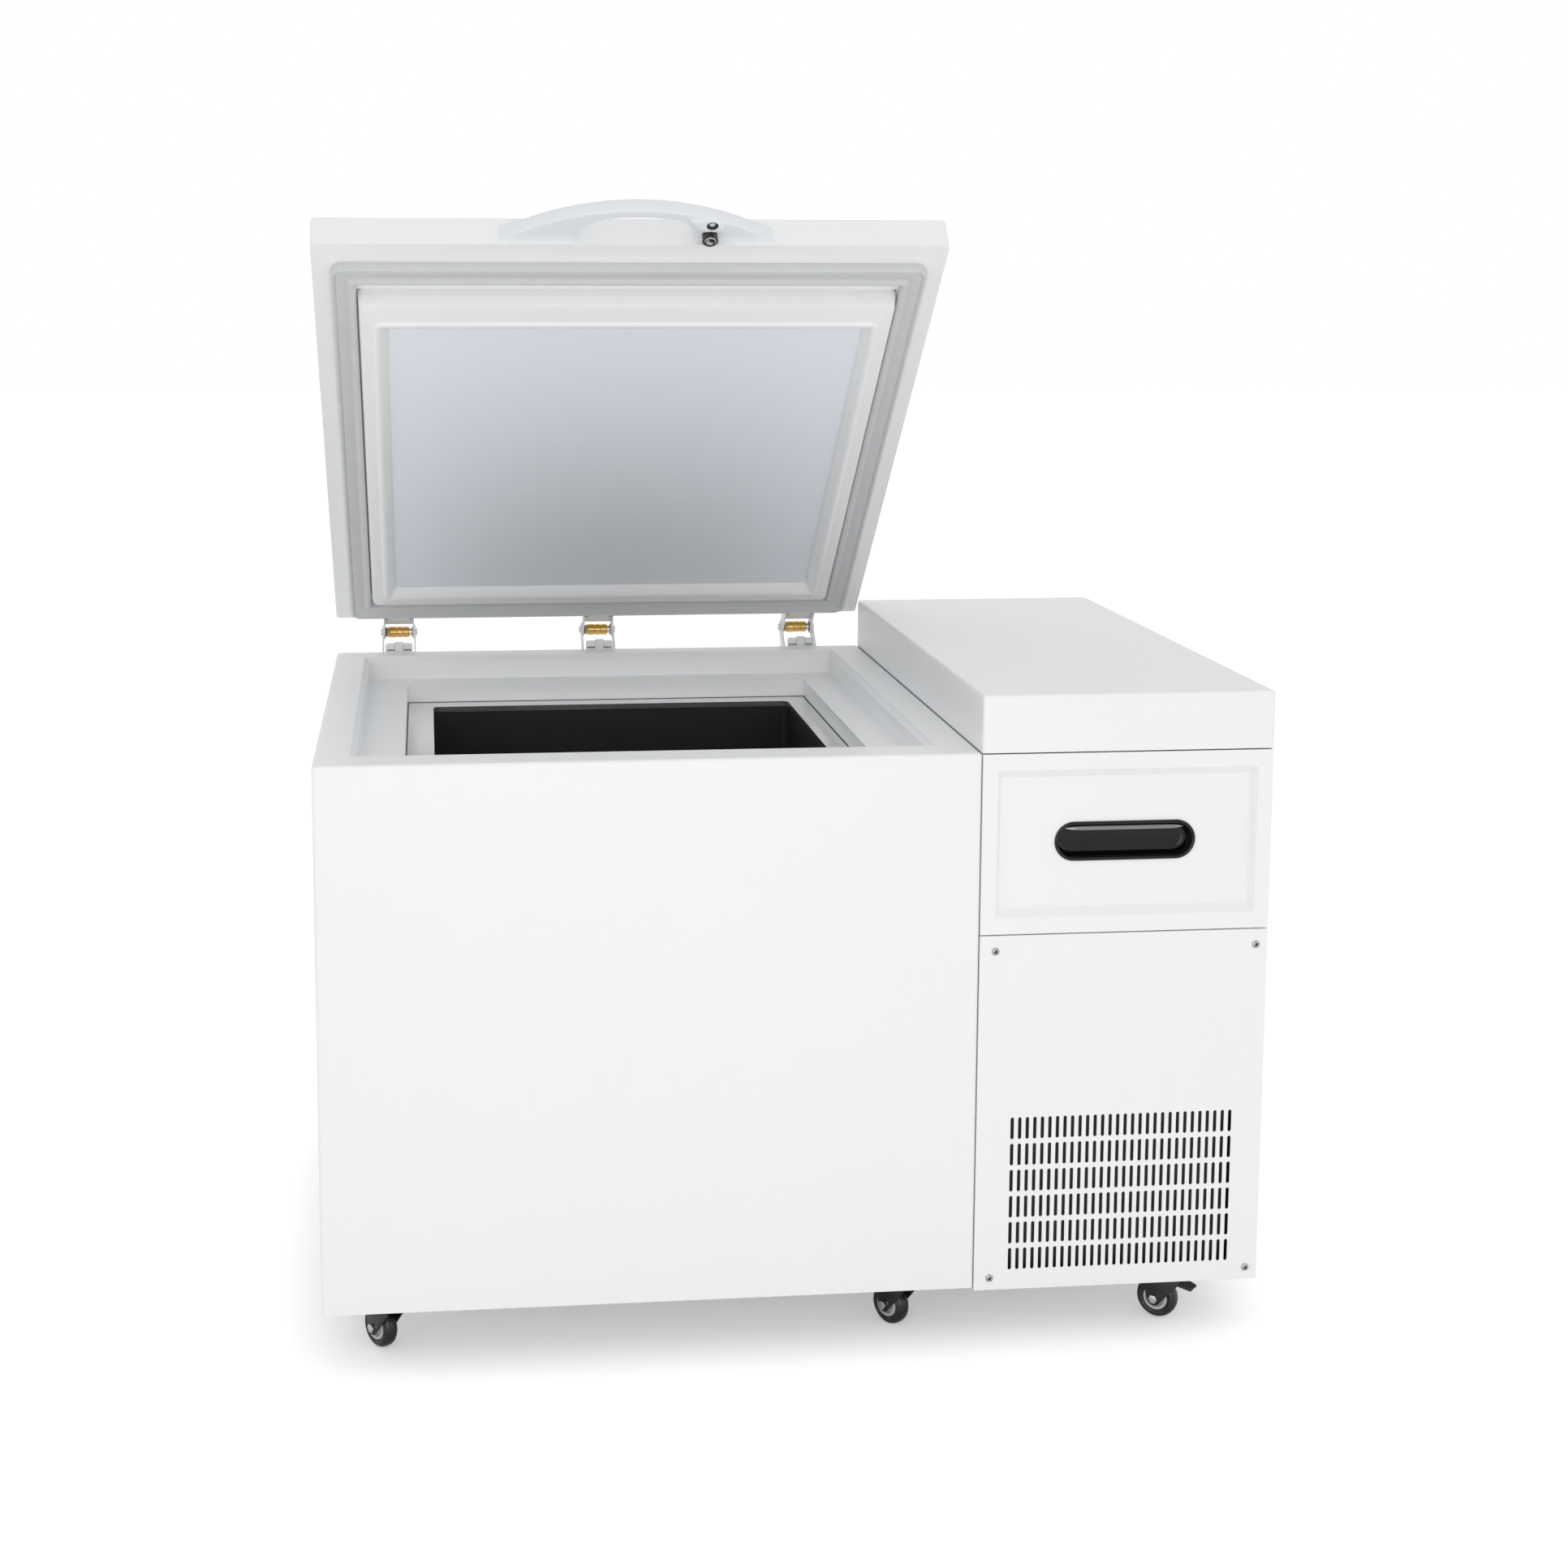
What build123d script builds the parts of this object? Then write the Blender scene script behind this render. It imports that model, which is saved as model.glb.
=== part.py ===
from build123d import *
import os
from math import atan2, cos, degrees, radians, sin, sqrt

os.makedirs("parts", exist_ok=True)

# Overall sizes of the insulated cabinet and of the machine bay on its right
cabinet_width = 985
cabinet_depth = 1062
cabinet_height = 831
bay_width = 447
bay_drop = 4.5
cap_height = 87
ground_clearance = 88
sheet = 1.5
corner_radius = 6
edge_radius = 5
fit = 0.3
running_fit = 0.05

# Rim, recess and throat round the mouth of the cold chamber
rim_left = 53
rim_right = 57
rim_front = 69
rim_back = 54
rim_chamfer = 8
recess_depth = 42
recess_wall = 3
throat_width = 730
throat_depth = 778
throat_height = 31
throat_left = 131
throat_shift = 0.5
collar_lap = 8
collar_lip = 8

# Cold chamber and the tube that cools it
shelf_side = 40.5
shelf_end = 45.5
chamber_height = 560
chamber_radius = 12
chamber_back = 185
chamber_shift = 4.5
liner_flange = 14
coil_diameter = 10
header_diameter = 8
coil_turns = 7
coil_pitch = 62
coil_drop = 60

# Lid, drawn closed in a frame whose origin is the middle of the hinge pins
lid_open = 40.5
hinge_back = 62
hinge_up = 28
seal_gap = 18
lid_setback = 5
lid_depth = 1051
lid_thickness = 55
lid_side_gap = 4
gasket_width = 38
gasket_side = 28
gasket_back = 20
gasket_front = 40
gasket_bevel = 4
plug_gap_side = 1
plug_gap_back = 24
plug_gap_front = 26
plug_height = 30
plug_taper = 5
plug_wall = 4
plug_floor_wall = 3
plug_shift = 0.5
bead_side = 19.5
bead_back = 20
bead_front = 41
bead_section = 12
bead_rise = 4
bead_shift = 0.5
panel_side = 23.5
panel_end = 27
panel_margin = 2
panel_sink = 12
panel_thickness = 2

# Hinges
hinge_places = (115, 491, 876)
hinge_width = 62
cheek = 2.5
pin_radius = 4
pin_head = 6.5
pin_head_height = 3
barrel_radius = 10.5
eye_radius = 13
hinge_plate = 3
lower_plate_height = 70
lower_plate_drop = 5
upper_plate_height = 44
upper_plate_lift = 3
tongue_width = 16
hinge_screw_radius = 2.5
hinge_screw_head = 5
hinge_screw_head_height = 3
hinge_screw_spread = 30
hinge_screw_low = 14
hinge_groove = 2.5
barrel_grooves = (-13, 9)

# Handle and lock on the front edge of the lid
handle_place = 495
handle_length = 418
handle_reach = 68
handle_bar = 17
handle_low = 8
handle_height = 27
gap_left = 97
gap_right = 90
gap_corner = 14
handle_round = 5
key_offset = 112.5
key_reach = 38
key_radius = 9
key_length = 18
key_slot = 2
bolt_offset = 110.5
bolt_reach = 14
bolt_radius = 9.5
bolt_length = 22
bolt_bevel = 1
lock_plate_step = 4
lock_barrel_wall = 2.5
lock_barrel_drop = 14
lock_hole_depth = 18
lock_plate_outline = [(80, 50), (100, 50.5), (129, 42), (131, 31), (124, 25), (98, 25), (91, 36)]

# Drawer in the top of the bay
seam = 1
drawer_height = 275
front_thickness = 20
front_recess = 13
front_recess_width = 399
front_recess_height = 225
bevel_side = 7
bevel_end = 12.5
pull_width = 217
pull_height = 60
pull_depth = 26
pull_wall = 2.5
pull_rim = 3
pull_lip = 7
tray_width = 336
tray_length = 430
tray_height = 170
tray_wall = 1.5
tray_lift = 22
rail_height = 45
rail_thickness = 6

# Lower front panel and its slots
slot_columns = 30
slot_rows = 6
slot_pitch = 11.72
slot_row_pitch = 41.4
slot_width = 5.4
slot_length = 34.5
slots_middle = 152
slots_shift = 2.5
screw_inset_left = 24
screw_inset_right = 18
screw_inset_top = 24
screw_inset_low = 19
dome_radius = 6
dome_height = 3
dome_taper = 20
screw_shank = 2.5

# Bay structure
angle_width = 32
angle_wall = 3
bar_height = 25
base_thickness = 3
floor_thickness = 3

# Refrigeration
condenser_width = 350
condenser_height = 285
condenser_depth = 50
condenser_set = 24
shroud_depth = 46
fan_radius = 115
fan_gap = 5
fan_hub_radius = 32
fan_hub_length = 24
fan_blades = 5
blade_width = 30
blade_thickness = 3
blade_twist = 32
motor_radius = 42
motor_length = 60
motor_shaft = 4
motor_arm = 8
compressor_radius = 88
compressor_height = 250
compressor_foot = 12
compressor_gap = 34
exchanger_width = 260
exchanger_depth = 120
exchanger_height = 330
drier_radius = 24
drier_length = 130
pipe_radius = 5
pipe_bend = 30
control_width = 390
control_depth = 110
control_height = 240
gland_radius = 12
gland_length = 22
gland_lap = 5
gland_inset = 112
gland_lift = 415

# Casters
wheel_radius = 32.5
wheel_width = 24
tyre_round = 5
hub_width = 27
hub_radius = 11
axle_radius = 4
trail = 22
fork_sheet = 2.5
fork_gap = 0.5
crown_gap = 4
race_radius = 19
mount_plate = 76
mount_plate_sheet = 2.5
kingpin_head = 7
kingpin_head_height = 2.5
axle_head = 7
axle_head_height = 4.5
caster_inset_side = 98
caster_inset_end = 68
bay_caster_inset = 118
bay_caster_end = 54
pedal_width = 22
pedal_reach = 24
pedal_drop = 6
pedal_thickness = 2
pedal_pin = 2.5
pedal_set = 12
pedal_low = 5
crown_margin = 20

# Places worked out from the sizes above
left_x = -(cabinet_width + bay_width) / 2
seam_x = left_x + cabinet_width
right_x = seam_x + bay_width
cabinet_x = left_x + cabinet_width / 2
bay_x = (seam_x + right_x) / 2
hinge_span = hinge_back + eye_radius
front_y = -(cabinet_depth + hinge_span) / 2
back_y = front_y + cabinet_depth
middle_y = (front_y + back_y) / 2
cabinet_bottom = ground_clearance
rim_z = cabinet_bottom + cabinet_height
bay_bottom = cabinet_bottom - bay_drop
hinge_y = back_y + hinge_back
hinge_z = rim_z + hinge_up

tilt = radians(lid_open)
lid_frame = Plane(origin=(0, hinge_y, hinge_z), x_dir=(1, 0, 0), z_dir=(0, sin(tilt), cos(tilt)))
lid_up = Axis((0, 0, 0), (0, sin(tilt), cos(tilt)))
lid_forward = Axis((0, 0, 0), (0, -cos(tilt), sin(tilt)))


def level(z):
    return Plane.XY.offset(z)


def facing_front(y):
    return Plane.XZ.offset(-y)


def facing_right(x):
    return Plane.YZ.offset(x)


def lid_level(height):
    return lid_frame.offset(height)


def lid_side(x):
    return Plane(
        origin=lid_frame.from_local_coords((x, 0, 0)), x_dir=lid_frame.y_dir, z_dir=(1, 0, 0)
    )


def lid_face(y):
    return Plane(
        origin=lid_frame.from_local_coords((0, y, 0)), x_dir=(1, 0, 0), z_dir=-lid_frame.y_dir
    )


def save(piece, name):
    piece.part.label = name
    export_step(piece.part, f"parts/{name}.step")


# Outer wrap of the cabinet: folded sheet with a flange round the mouth
recess_width = cabinet_width - rim_left - rim_right
recess_length = cabinet_depth - rim_front - rim_back
recess_x = left_x + rim_left + recess_width / 2
recess_y = front_y + rim_front + recess_length / 2
hinge_xs = [left_x + place for place in hinge_places]
lower_plate_z = rim_z - lower_plate_drop - lower_plate_height / 2
lower_screw_places = [
    (x + side * hinge_screw_spread / 2, lower_plate_z - hinge_screw_low)
    for x in hinge_xs
    for side in (-1, 1)
]

with BuildPart() as cabinet_wrap:
    with BuildSketch(level(cabinet_bottom)):
        with Locations((cabinet_x, middle_y)):
            RectangleRounded(cabinet_width, cabinet_depth, corner_radius)
    extrude(amount=cabinet_height)
    fillet(cabinet_wrap.faces().sort_by(Axis.Z)[-1].edges(), radius=edge_radius)
    offset(amount=-sheet, openings=cabinet_wrap.faces().sort_by(Axis.Z)[0])
    with BuildSketch(level(rim_z)):
        with Locations((recess_x, recess_y)):
            Rectangle(recess_width, recess_length)
    extrude(amount=-2 * sheet, mode=Mode.SUBTRACT)
    with BuildSketch(facing_front(back_y)):
        with Locations(*lower_screw_places):
            Circle(hinge_screw_radius + fit)
    extrude(amount=2 * sheet, mode=Mode.SUBTRACT)
save(cabinet_wrap, "cabinet_wrap")

# Floor pan inside the wrap, thick enough to carry the casters
pan_margin = sheet + fit
with BuildPart() as cabinet_floor:
    with BuildSketch(level(cabinet_bottom)):
        with Locations((cabinet_x, middle_y)):
            RectangleRounded(
                cabinet_width - 2 * pan_margin, cabinet_depth - 2 * pan_margin, corner_radius - sheet
            )
    extrude(amount=floor_thickness)
save(cabinet_floor, "cabinet_floor")

# Stepped plastic frame that lines the recess and the throat
recess_inner_width = recess_width - 2 * rim_chamfer
recess_inner_length = recess_length - 2 * rim_chamfer
recess_outer_width = recess_inner_width + 2 * (rim_chamfer + recess_wall)
recess_outer_length = recess_inner_length + 2 * (rim_chamfer + recess_wall)
ledge_z = rim_z - recess_depth
throat_low = ledge_z - throat_height
throat_x = left_x + throat_left + throat_width / 2
chamber_width = throat_width - 2 * shelf_side
chamber_depth = throat_depth - 2 * shelf_end
chamber_x = throat_x + chamber_shift
chamber_y = back_y - chamber_back - chamber_depth / 2
throat_y = chamber_y + throat_shift
throat_outer_width = throat_width + 2 * recess_wall
throat_outer_depth = throat_depth + 2 * recess_wall
frame_top = rim_z - sheet

with BuildPart() as recess_frame:
    with BuildSketch(level(frame_top)):
        with Locations((recess_x, recess_y)):
            Rectangle(recess_outer_width, recess_outer_length)
    extrude(amount=-(recess_depth - sheet + recess_wall))
    with BuildSketch(level(ledge_z - recess_wall)):
        with Locations((throat_x, throat_y)):
            Rectangle(throat_outer_width, throat_outer_depth)
    extrude(amount=throat_low - ledge_z + recess_wall)
    with BuildSketch(level(frame_top)):
        with Locations((recess_x, recess_y)):
            Rectangle(recess_width, recess_length)
    with BuildSketch(level(frame_top - rim_chamfer)):
        with Locations((recess_x, recess_y)):
            Rectangle(recess_inner_width, recess_inner_length)
    loft(mode=Mode.SUBTRACT)
    with BuildSketch(level(frame_top - rim_chamfer)):
        with Locations((recess_x, recess_y)):
            Rectangle(recess_inner_width, recess_inner_length)
    extrude(amount=ledge_z - frame_top + rim_chamfer, mode=Mode.SUBTRACT)
    with BuildSketch(level(ledge_z)):
        with Locations((throat_x, throat_y)):
            Rectangle(throat_width, throat_depth)
    extrude(amount=throat_low - ledge_z, mode=Mode.SUBTRACT)
save(recess_frame, "recess_frame")

# Stainless collar under the throat, with a lip that turns down into the chamber
collar_top = throat_low
liner_top = collar_top - sheet
collar_opening_width = chamber_width - 2 * sheet
collar_opening_depth = chamber_depth - 2 * sheet
with BuildPart() as chamber_collar:
    with BuildSketch(level(collar_top)):
        with Locations((throat_x, throat_y)):
            Rectangle(throat_width + 2 * collar_lap, throat_depth + 2 * collar_lap)
        with Locations((chamber_x, chamber_y)):
            RectangleRounded(
                collar_opening_width, collar_opening_depth, chamber_radius, mode=Mode.SUBTRACT
            )
    extrude(amount=-sheet)
    with BuildSketch(level(liner_top)):
        with Locations((chamber_x, chamber_y)):
            RectangleRounded(
                chamber_width - fit, chamber_depth - fit, chamber_radius
            )
            RectangleRounded(
                collar_opening_width, collar_opening_depth, chamber_radius, mode=Mode.SUBTRACT
            )
    extrude(amount=-collar_lip)
save(chamber_collar, "chamber_collar")

# Black inner tank, open at the top, hung from its flange
liner_outer_width = chamber_width + 2 * sheet
liner_outer_depth = chamber_depth + 2 * sheet
liner_bottom = liner_top - chamber_height
with BuildPart() as chamber_liner:
    with BuildSketch(level(liner_bottom)):
        with Locations((chamber_x, chamber_y)):
            RectangleRounded(liner_outer_width, liner_outer_depth, chamber_radius + sheet)
    extrude(amount=chamber_height)
    with BuildSketch(level(liner_top)):
        with Locations((chamber_x, chamber_y)):
            RectangleRounded(
                liner_outer_width + 2 * liner_flange, liner_outer_depth + 2 * liner_flange, chamber_radius
            )
    extrude(amount=-sheet)
    with BuildSketch(level(liner_bottom + sheet)):
        with Locations((chamber_x, chamber_y)):
            RectangleRounded(chamber_width, chamber_depth, chamber_radius)
    extrude(amount=chamber_height, mode=Mode.SUBTRACT)
save(chamber_liner, "chamber_liner")

# Cooling tube wound down the outside of the tank
coil_width = liner_outer_width + coil_diameter + 2 * fit
coil_depth = liner_outer_depth + coil_diameter + 2 * fit
coil_bend = chamber_radius + sheet + fit + coil_diameter / 2
coil_top = liner_top - coil_drop
coil_front = chamber_y - coil_depth / 2
coil_back = chamber_y + coil_depth / 2
coil_left = chamber_x - coil_width / 2
coil_right = chamber_x + coil_width / 2
with BuildPart() as evaporator_coil:
    for k in range(coil_turns):
        z = coil_top - k * coil_pitch
        with BuildLine() as ring:
            FilletPolyline(
                (coil_left, coil_front, z),
                (coil_right, coil_front, z),
                (coil_right, coil_back, z),
                (coil_left, coil_back, z),
                radius=coil_bend,
                close=True,
            )
        with BuildSketch(Plane(origin=ring.line @ 0, z_dir=ring.line % 0)):
            Circle(coil_diameter / 2)
        sweep()
    with BuildSketch(level(coil_top)):
        with Locations((chamber_x, coil_front)):
            Circle(header_diameter / 2)
    extrude(amount=-(coil_turns - 1) * coil_pitch)
save(evaporator_coil, "evaporator_coil")

# Foam block between wrap and linings
foam_bottom = cabinet_bottom + floor_thickness + fit
foam_top = rim_z - sheet - fit
coil_space = coil_diameter + 3 * fit
with BuildPart() as cabinet_foam:
    with BuildSketch(level(foam_bottom)):
        with Locations((cabinet_x, middle_y)):
            RectangleRounded(
                cabinet_width - 2 * pan_margin, cabinet_depth - 2 * pan_margin, corner_radius - sheet
            )
    extrude(amount=foam_top - foam_bottom)
    chamfer(cabinet_foam.faces().sort_by(Axis.Z)[-1].edges(), length=edge_radius - sheet)
    with BuildSketch(level(ledge_z - recess_wall - fit)):
        with Locations((recess_x, recess_y)):
            Rectangle(recess_outer_width + 2 * fit, recess_outer_length + 2 * fit)
    extrude(amount=recess_depth + recess_wall + fit, mode=Mode.SUBTRACT)
    with BuildSketch(level(liner_top - sheet - fit)):
        with Locations((throat_x, throat_y)):
            Rectangle(throat_width + 2 * (collar_lap + fit), throat_depth + 2 * (collar_lap + fit))
    extrude(amount=ledge_z - liner_top, mode=Mode.SUBTRACT)
    with BuildSketch(level(liner_bottom - fit)):
        with Locations((chamber_x, chamber_y)):
            RectangleRounded(
                liner_outer_width + 2 * coil_space, liner_outer_depth + 2 * coil_space, chamber_radius
            )
    extrude(amount=chamber_height, mode=Mode.SUBTRACT)
save(cabinet_foam, "cabinet_foam")

# Lid shell: folded sheet, open underneath where the plug stands
lid_left = left_x
lid_right = seam_x - lid_side_gap
lid_width = lid_right - lid_left
lid_x = (lid_left + lid_right) / 2
lid_front = front_y + lid_setback - hinge_y
lid_back = lid_front + lid_depth
lid_y = (lid_front + lid_back) / 2
lid_under = seal_gap - hinge_up
gasket_outer_width = lid_width - 2 * gasket_side
gasket_outer_depth = lid_depth - gasket_back - gasket_front
gasket_inner_width = gasket_outer_width - 2 * gasket_width
gasket_inner_depth = gasket_outer_depth - 2 * gasket_width
gasket_y = lid_back - gasket_back - gasket_outer_depth / 2
plug_base_width = gasket_inner_width - 2 * plug_gap_side
plug_base_depth = gasket_inner_depth - plug_gap_back - plug_gap_front
plug_width = plug_base_width - 2 * plug_taper
plug_depth = plug_base_depth - 2 * plug_taper
plug_x = lid_x - plug_shift
plug_y = lid_back - gasket_back - gasket_width - plug_gap_back - plug_base_depth / 2
upper_plate_z = lid_under + upper_plate_lift + upper_plate_height / 2
upper_screw_places = [
    (x + side * hinge_screw_spread / 2, upper_plate_z) for x in hinge_xs for side in (-1, 1)
]

with BuildPart() as lid_shell:
    with BuildSketch(lid_level(lid_under)):
        with Locations((lid_x, lid_y)):
            RectangleRounded(lid_width, lid_depth, corner_radius)
    extrude(amount=lid_thickness)
    fillet(lid_shell.faces().sort_by(lid_up)[-1].edges(), radius=edge_radius)
    offset(amount=-sheet, openings=lid_shell.faces().sort_by(lid_up)[0])
    with BuildSketch(lid_level(lid_under)):
        with Locations((lid_x, lid_y)):
            RectangleRounded(lid_width, lid_depth, corner_radius)
        with Locations((plug_x, plug_y)):
            Rectangle(plug_base_width, plug_base_depth, mode=Mode.SUBTRACT)
    extrude(amount=sheet)
    with BuildSketch(lid_face(lid_back)):
        with Locations(*upper_screw_places):
            Circle(hinge_screw_radius + fit)
    extrude(amount=2 * sheet, mode=Mode.SUBTRACT)
save(lid_shell, "lid_shell")

# White moulded plug frame with a raised bead and a sunk middle
plug_low = lid_under - plug_height
bead_width = plug_width - 2 * bead_side
bead_depth = plug_depth - bead_back - bead_front
bead_x = plug_x - bead_shift
bead_y = plug_y + (bead_front - bead_back) / 2
panel_width = bead_width - 2 * panel_side
panel_depth = bead_depth - 2 * panel_end
plug_floor = plug_low + panel_sink
with BuildPart() as lid_plug_frame:
    with BuildSketch(lid_level(lid_under)):
        with Locations((plug_x, plug_y)):
            Rectangle(plug_base_width, plug_base_depth)
    with BuildSketch(lid_level(plug_low)):
        with Locations((plug_x, plug_y)):
            Rectangle(plug_width, plug_depth)
    loft()
    with BuildSketch(lid_level(plug_low)):
        with Locations((bead_x, bead_y)):
            RectangleRounded(bead_width, bead_depth, bead_section)
    extrude(amount=-bead_rise)
    with BuildSketch(lid_level(plug_floor)):
        with Locations((bead_x, bead_y)):
            Rectangle(panel_width + 2 * panel_margin, panel_depth + 2 * panel_margin)
    with BuildSketch(lid_level(plug_low - bead_rise)):
        with Locations((bead_x, bead_y)):
            Rectangle(bead_width - 2 * bead_section, bead_depth - 2 * bead_section)
    loft(mode=Mode.SUBTRACT)
    with BuildSketch(lid_level(plug_floor + plug_floor_wall)):
        with Locations((plug_x, plug_y)):
            Rectangle(plug_width - 2 * plug_wall, plug_depth - 2 * plug_wall)
    extrude(amount=lid_under - plug_floor, mode=Mode.SUBTRACT)
save(lid_plug_frame, "lid_plug_frame")

# Pale inner panel set into the plug frame
with BuildPart() as lid_inner_panel:
    with BuildSketch(lid_level(plug_floor)):
        with Locations((bead_x, bead_y)):
            Rectangle(panel_width, panel_depth)
    extrude(amount=-panel_thickness)
save(lid_inner_panel, "lid_inner_panel")

# Foam inside the lid and its plug
with BuildPart() as lid_foam:
    with BuildSketch(lid_level(lid_under + sheet + fit)):
        with Locations((lid_x, lid_y)):
            RectangleRounded(
                lid_width - 2 * pan_margin, lid_depth - 2 * pan_margin, corner_radius - sheet
            )
    extrude(amount=lid_thickness - 2 * pan_margin)
    chamfer(lid_foam.faces().sort_by(lid_up)[-1].edges(), length=edge_radius - sheet)
    with BuildSketch(lid_level(plug_floor + plug_floor_wall + fit)):
        with Locations((plug_x, plug_y)):
            Rectangle(plug_width - 2 * (plug_wall + fit), plug_depth - 2 * (plug_wall + fit))
    extrude(amount=lid_under + 2 * sheet - plug_floor - plug_floor_wall)
save(lid_foam, "lid_foam")

# Seal: a soft hollow band round the plug
gasket_height = seal_gap - fit
with BuildPart() as lid_gasket:
    with BuildSketch(lid_level(lid_under)):
        with Locations((lid_x, gasket_y)):
            Rectangle(gasket_outer_width, gasket_outer_depth)
            Rectangle(gasket_inner_width, gasket_inner_depth, mode=Mode.SUBTRACT)
    extrude(amount=-gasket_height)
    chamfer(lid_gasket.faces().sort_by(lid_up)[0].edges(), length=gasket_bevel)
save(lid_gasket, "lid_gasket")

# Arched handle with a finger gap between bar and lid
handle_x = left_x + handle_place
handle_under = lid_under + handle_low
half_length = handle_length / 2
handle_arc = (half_length**2 + handle_reach**2) / (2 * handle_reach)
arc_centre = lid_front + handle_arc - handle_reach
key_x = handle_x + key_offset
key_y = lid_front - key_reach
bolt_x = handle_x + bolt_offset
bolt_y = lid_front - bolt_reach
with BuildPart() as lid_handle:
    with BuildSketch(lid_level(handle_under)):
        with BuildLine():
            ThreePointArc(
                (handle_x - half_length, lid_front),
                (handle_x, lid_front - handle_reach),
                (handle_x + half_length, lid_front),
            )
            Line((handle_x + half_length, lid_front), (handle_x - half_length, lid_front))
        make_face()
    extrude(amount=handle_height)
    with BuildSketch(lid_level(handle_under)) as finger_gap:
        with Locations((handle_x, arc_centre)):
            Circle(handle_arc - handle_bar)
        with Locations((handle_x + (gap_right - gap_left) / 2, lid_front)):
            Rectangle(gap_left + gap_right, 2 * handle_reach, mode=Mode.INTERSECT)
        fillet(finger_gap.vertices().group_by(Axis.Y)[0], radius=gap_corner)
    extrude(amount=handle_height, mode=Mode.SUBTRACT)
    fillet(lid_handle.faces().sort_by(lid_forward)[-1].edges().group_by(lid_up)[-1], radius=handle_round)
    with BuildSketch(lid_level(handle_under)):
        with Locations((key_x, key_y)):
            Circle(key_radius + running_fit)
        with Locations((bolt_x, bolt_y)):
            Circle(bolt_radius + running_fit)
    extrude(amount=lock_hole_depth, mode=Mode.SUBTRACT)
save(lid_handle, "lid_handle")

# Lock housing under the right foot of the handle
with BuildPart() as lock_housing:
    with BuildSketch(lid_level(handle_under)):
        with BuildLine():
            Polyline(
                *[(handle_x + across, lid_front - out) for across, out in lock_plate_outline], close=True
            )
        make_face()
        with Locations((key_x, key_y)):
            Circle(key_radius + running_fit, mode=Mode.SUBTRACT)
        with Locations((bolt_x, bolt_y)):
            Circle(bolt_radius + running_fit, mode=Mode.SUBTRACT)
    extrude(amount=-lock_plate_step)
    with BuildSketch(lid_level(handle_under)):
        with Locations((bolt_x, bolt_y)):
            Circle(bolt_radius + lock_barrel_wall)
            Circle(bolt_radius + running_fit, mode=Mode.SUBTRACT)
    extrude(amount=-lock_barrel_drop)
save(lock_housing, "lock_housing")

# Key cylinder, turned by the key
with BuildPart() as lock_cylinder:
    with BuildSketch(lid_level(handle_under - lock_plate_step + fit)):
        with Locations((key_x, key_y)):
            Circle(key_radius)
    extrude(amount=key_length)
    with BuildSketch(lid_level(handle_under - lock_plate_step + fit)):
        with Locations((key_x, key_y)):
            Rectangle(key_radius, key_slot)
    extrude(amount=key_length / 2, mode=Mode.SUBTRACT)
save(lock_cylinder, "lock_cylinder")

# Lock bolt, pushed down by the key cylinder
with BuildPart() as lock_bolt:
    with BuildSketch(lid_level(handle_under - lock_barrel_drop - fit)):
        with Locations((bolt_x, bolt_y)):
            Circle(bolt_radius)
    extrude(amount=bolt_length)
    chamfer(lock_bolt.faces().sort_by(lid_up)[0].edges(), length=bolt_bevel)
save(lock_bolt, "lock_bolt")

# Lower hinge brackets on the back of the cabinet
tongue_top = hinge_z - barrel_radius + fit
with BuildPart() as hinge_lower_brackets:
    for x in hinge_xs:
        with BuildSketch(facing_front(back_y)):
            with Locations((x, lower_plate_z)):
                Rectangle(hinge_width, lower_plate_height)
            with Locations((x, (tongue_top + lower_plate_z) / 2)):
                Rectangle(tongue_width, tongue_top - lower_plate_z)
        extrude(amount=-hinge_plate)
        for start in (x - hinge_width / 2, x + hinge_width / 2 - cheek):
            with BuildSketch(facing_right(start)):
                with Locations((hinge_y, hinge_z)):
                    Circle(eye_radius)
                with Locations((back_y + hinge_plate / 2, lower_plate_z)):
                    Rectangle(hinge_plate, lower_plate_height)
                make_hull()
            extrude(amount=cheek)
    with BuildSketch(facing_right(left_x)):
        with Locations((hinge_y, hinge_z)):
            Circle(pin_radius + running_fit)
    extrude(amount=cabinet_width, mode=Mode.SUBTRACT)
    with BuildSketch(facing_front(back_y)):
        with Locations(*lower_screw_places):
            Circle(hinge_screw_radius + running_fit)
    extrude(amount=-hinge_plate, mode=Mode.SUBTRACT)
save(hinge_lower_brackets, "hinge_lower_brackets")

# Upper hinge brackets on the back of the lid, between the lower cheeks
upper_half = hinge_width / 2 - cheek - fit
with BuildPart() as hinge_upper_brackets:
    for x in hinge_xs:
        with BuildSketch(lid_face(lid_back)):
            with Locations((x, upper_plate_z)):
                Rectangle(2 * upper_half, upper_plate_height)
        extrude(amount=-hinge_plate)
        for start in (x - upper_half, x + upper_half - cheek):
            with BuildSketch(lid_side(start)):
                Circle(eye_radius)
                with Locations((lid_back + hinge_plate / 2, upper_plate_z)):
                    Rectangle(hinge_plate, upper_plate_height)
                make_hull()
            extrude(amount=cheek)
    with BuildSketch(facing_right(left_x)):
        with Locations((hinge_y, hinge_z)):
            Circle(pin_radius + running_fit)
    extrude(amount=cabinet_width, mode=Mode.SUBTRACT)
    with BuildSketch(lid_face(lid_back)):
        with Locations(*upper_screw_places):
            Circle(hinge_screw_radius + running_fit)
    extrude(amount=-hinge_plate, mode=Mode.SUBTRACT)
save(hinge_upper_brackets, "hinge_upper_brackets")

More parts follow.
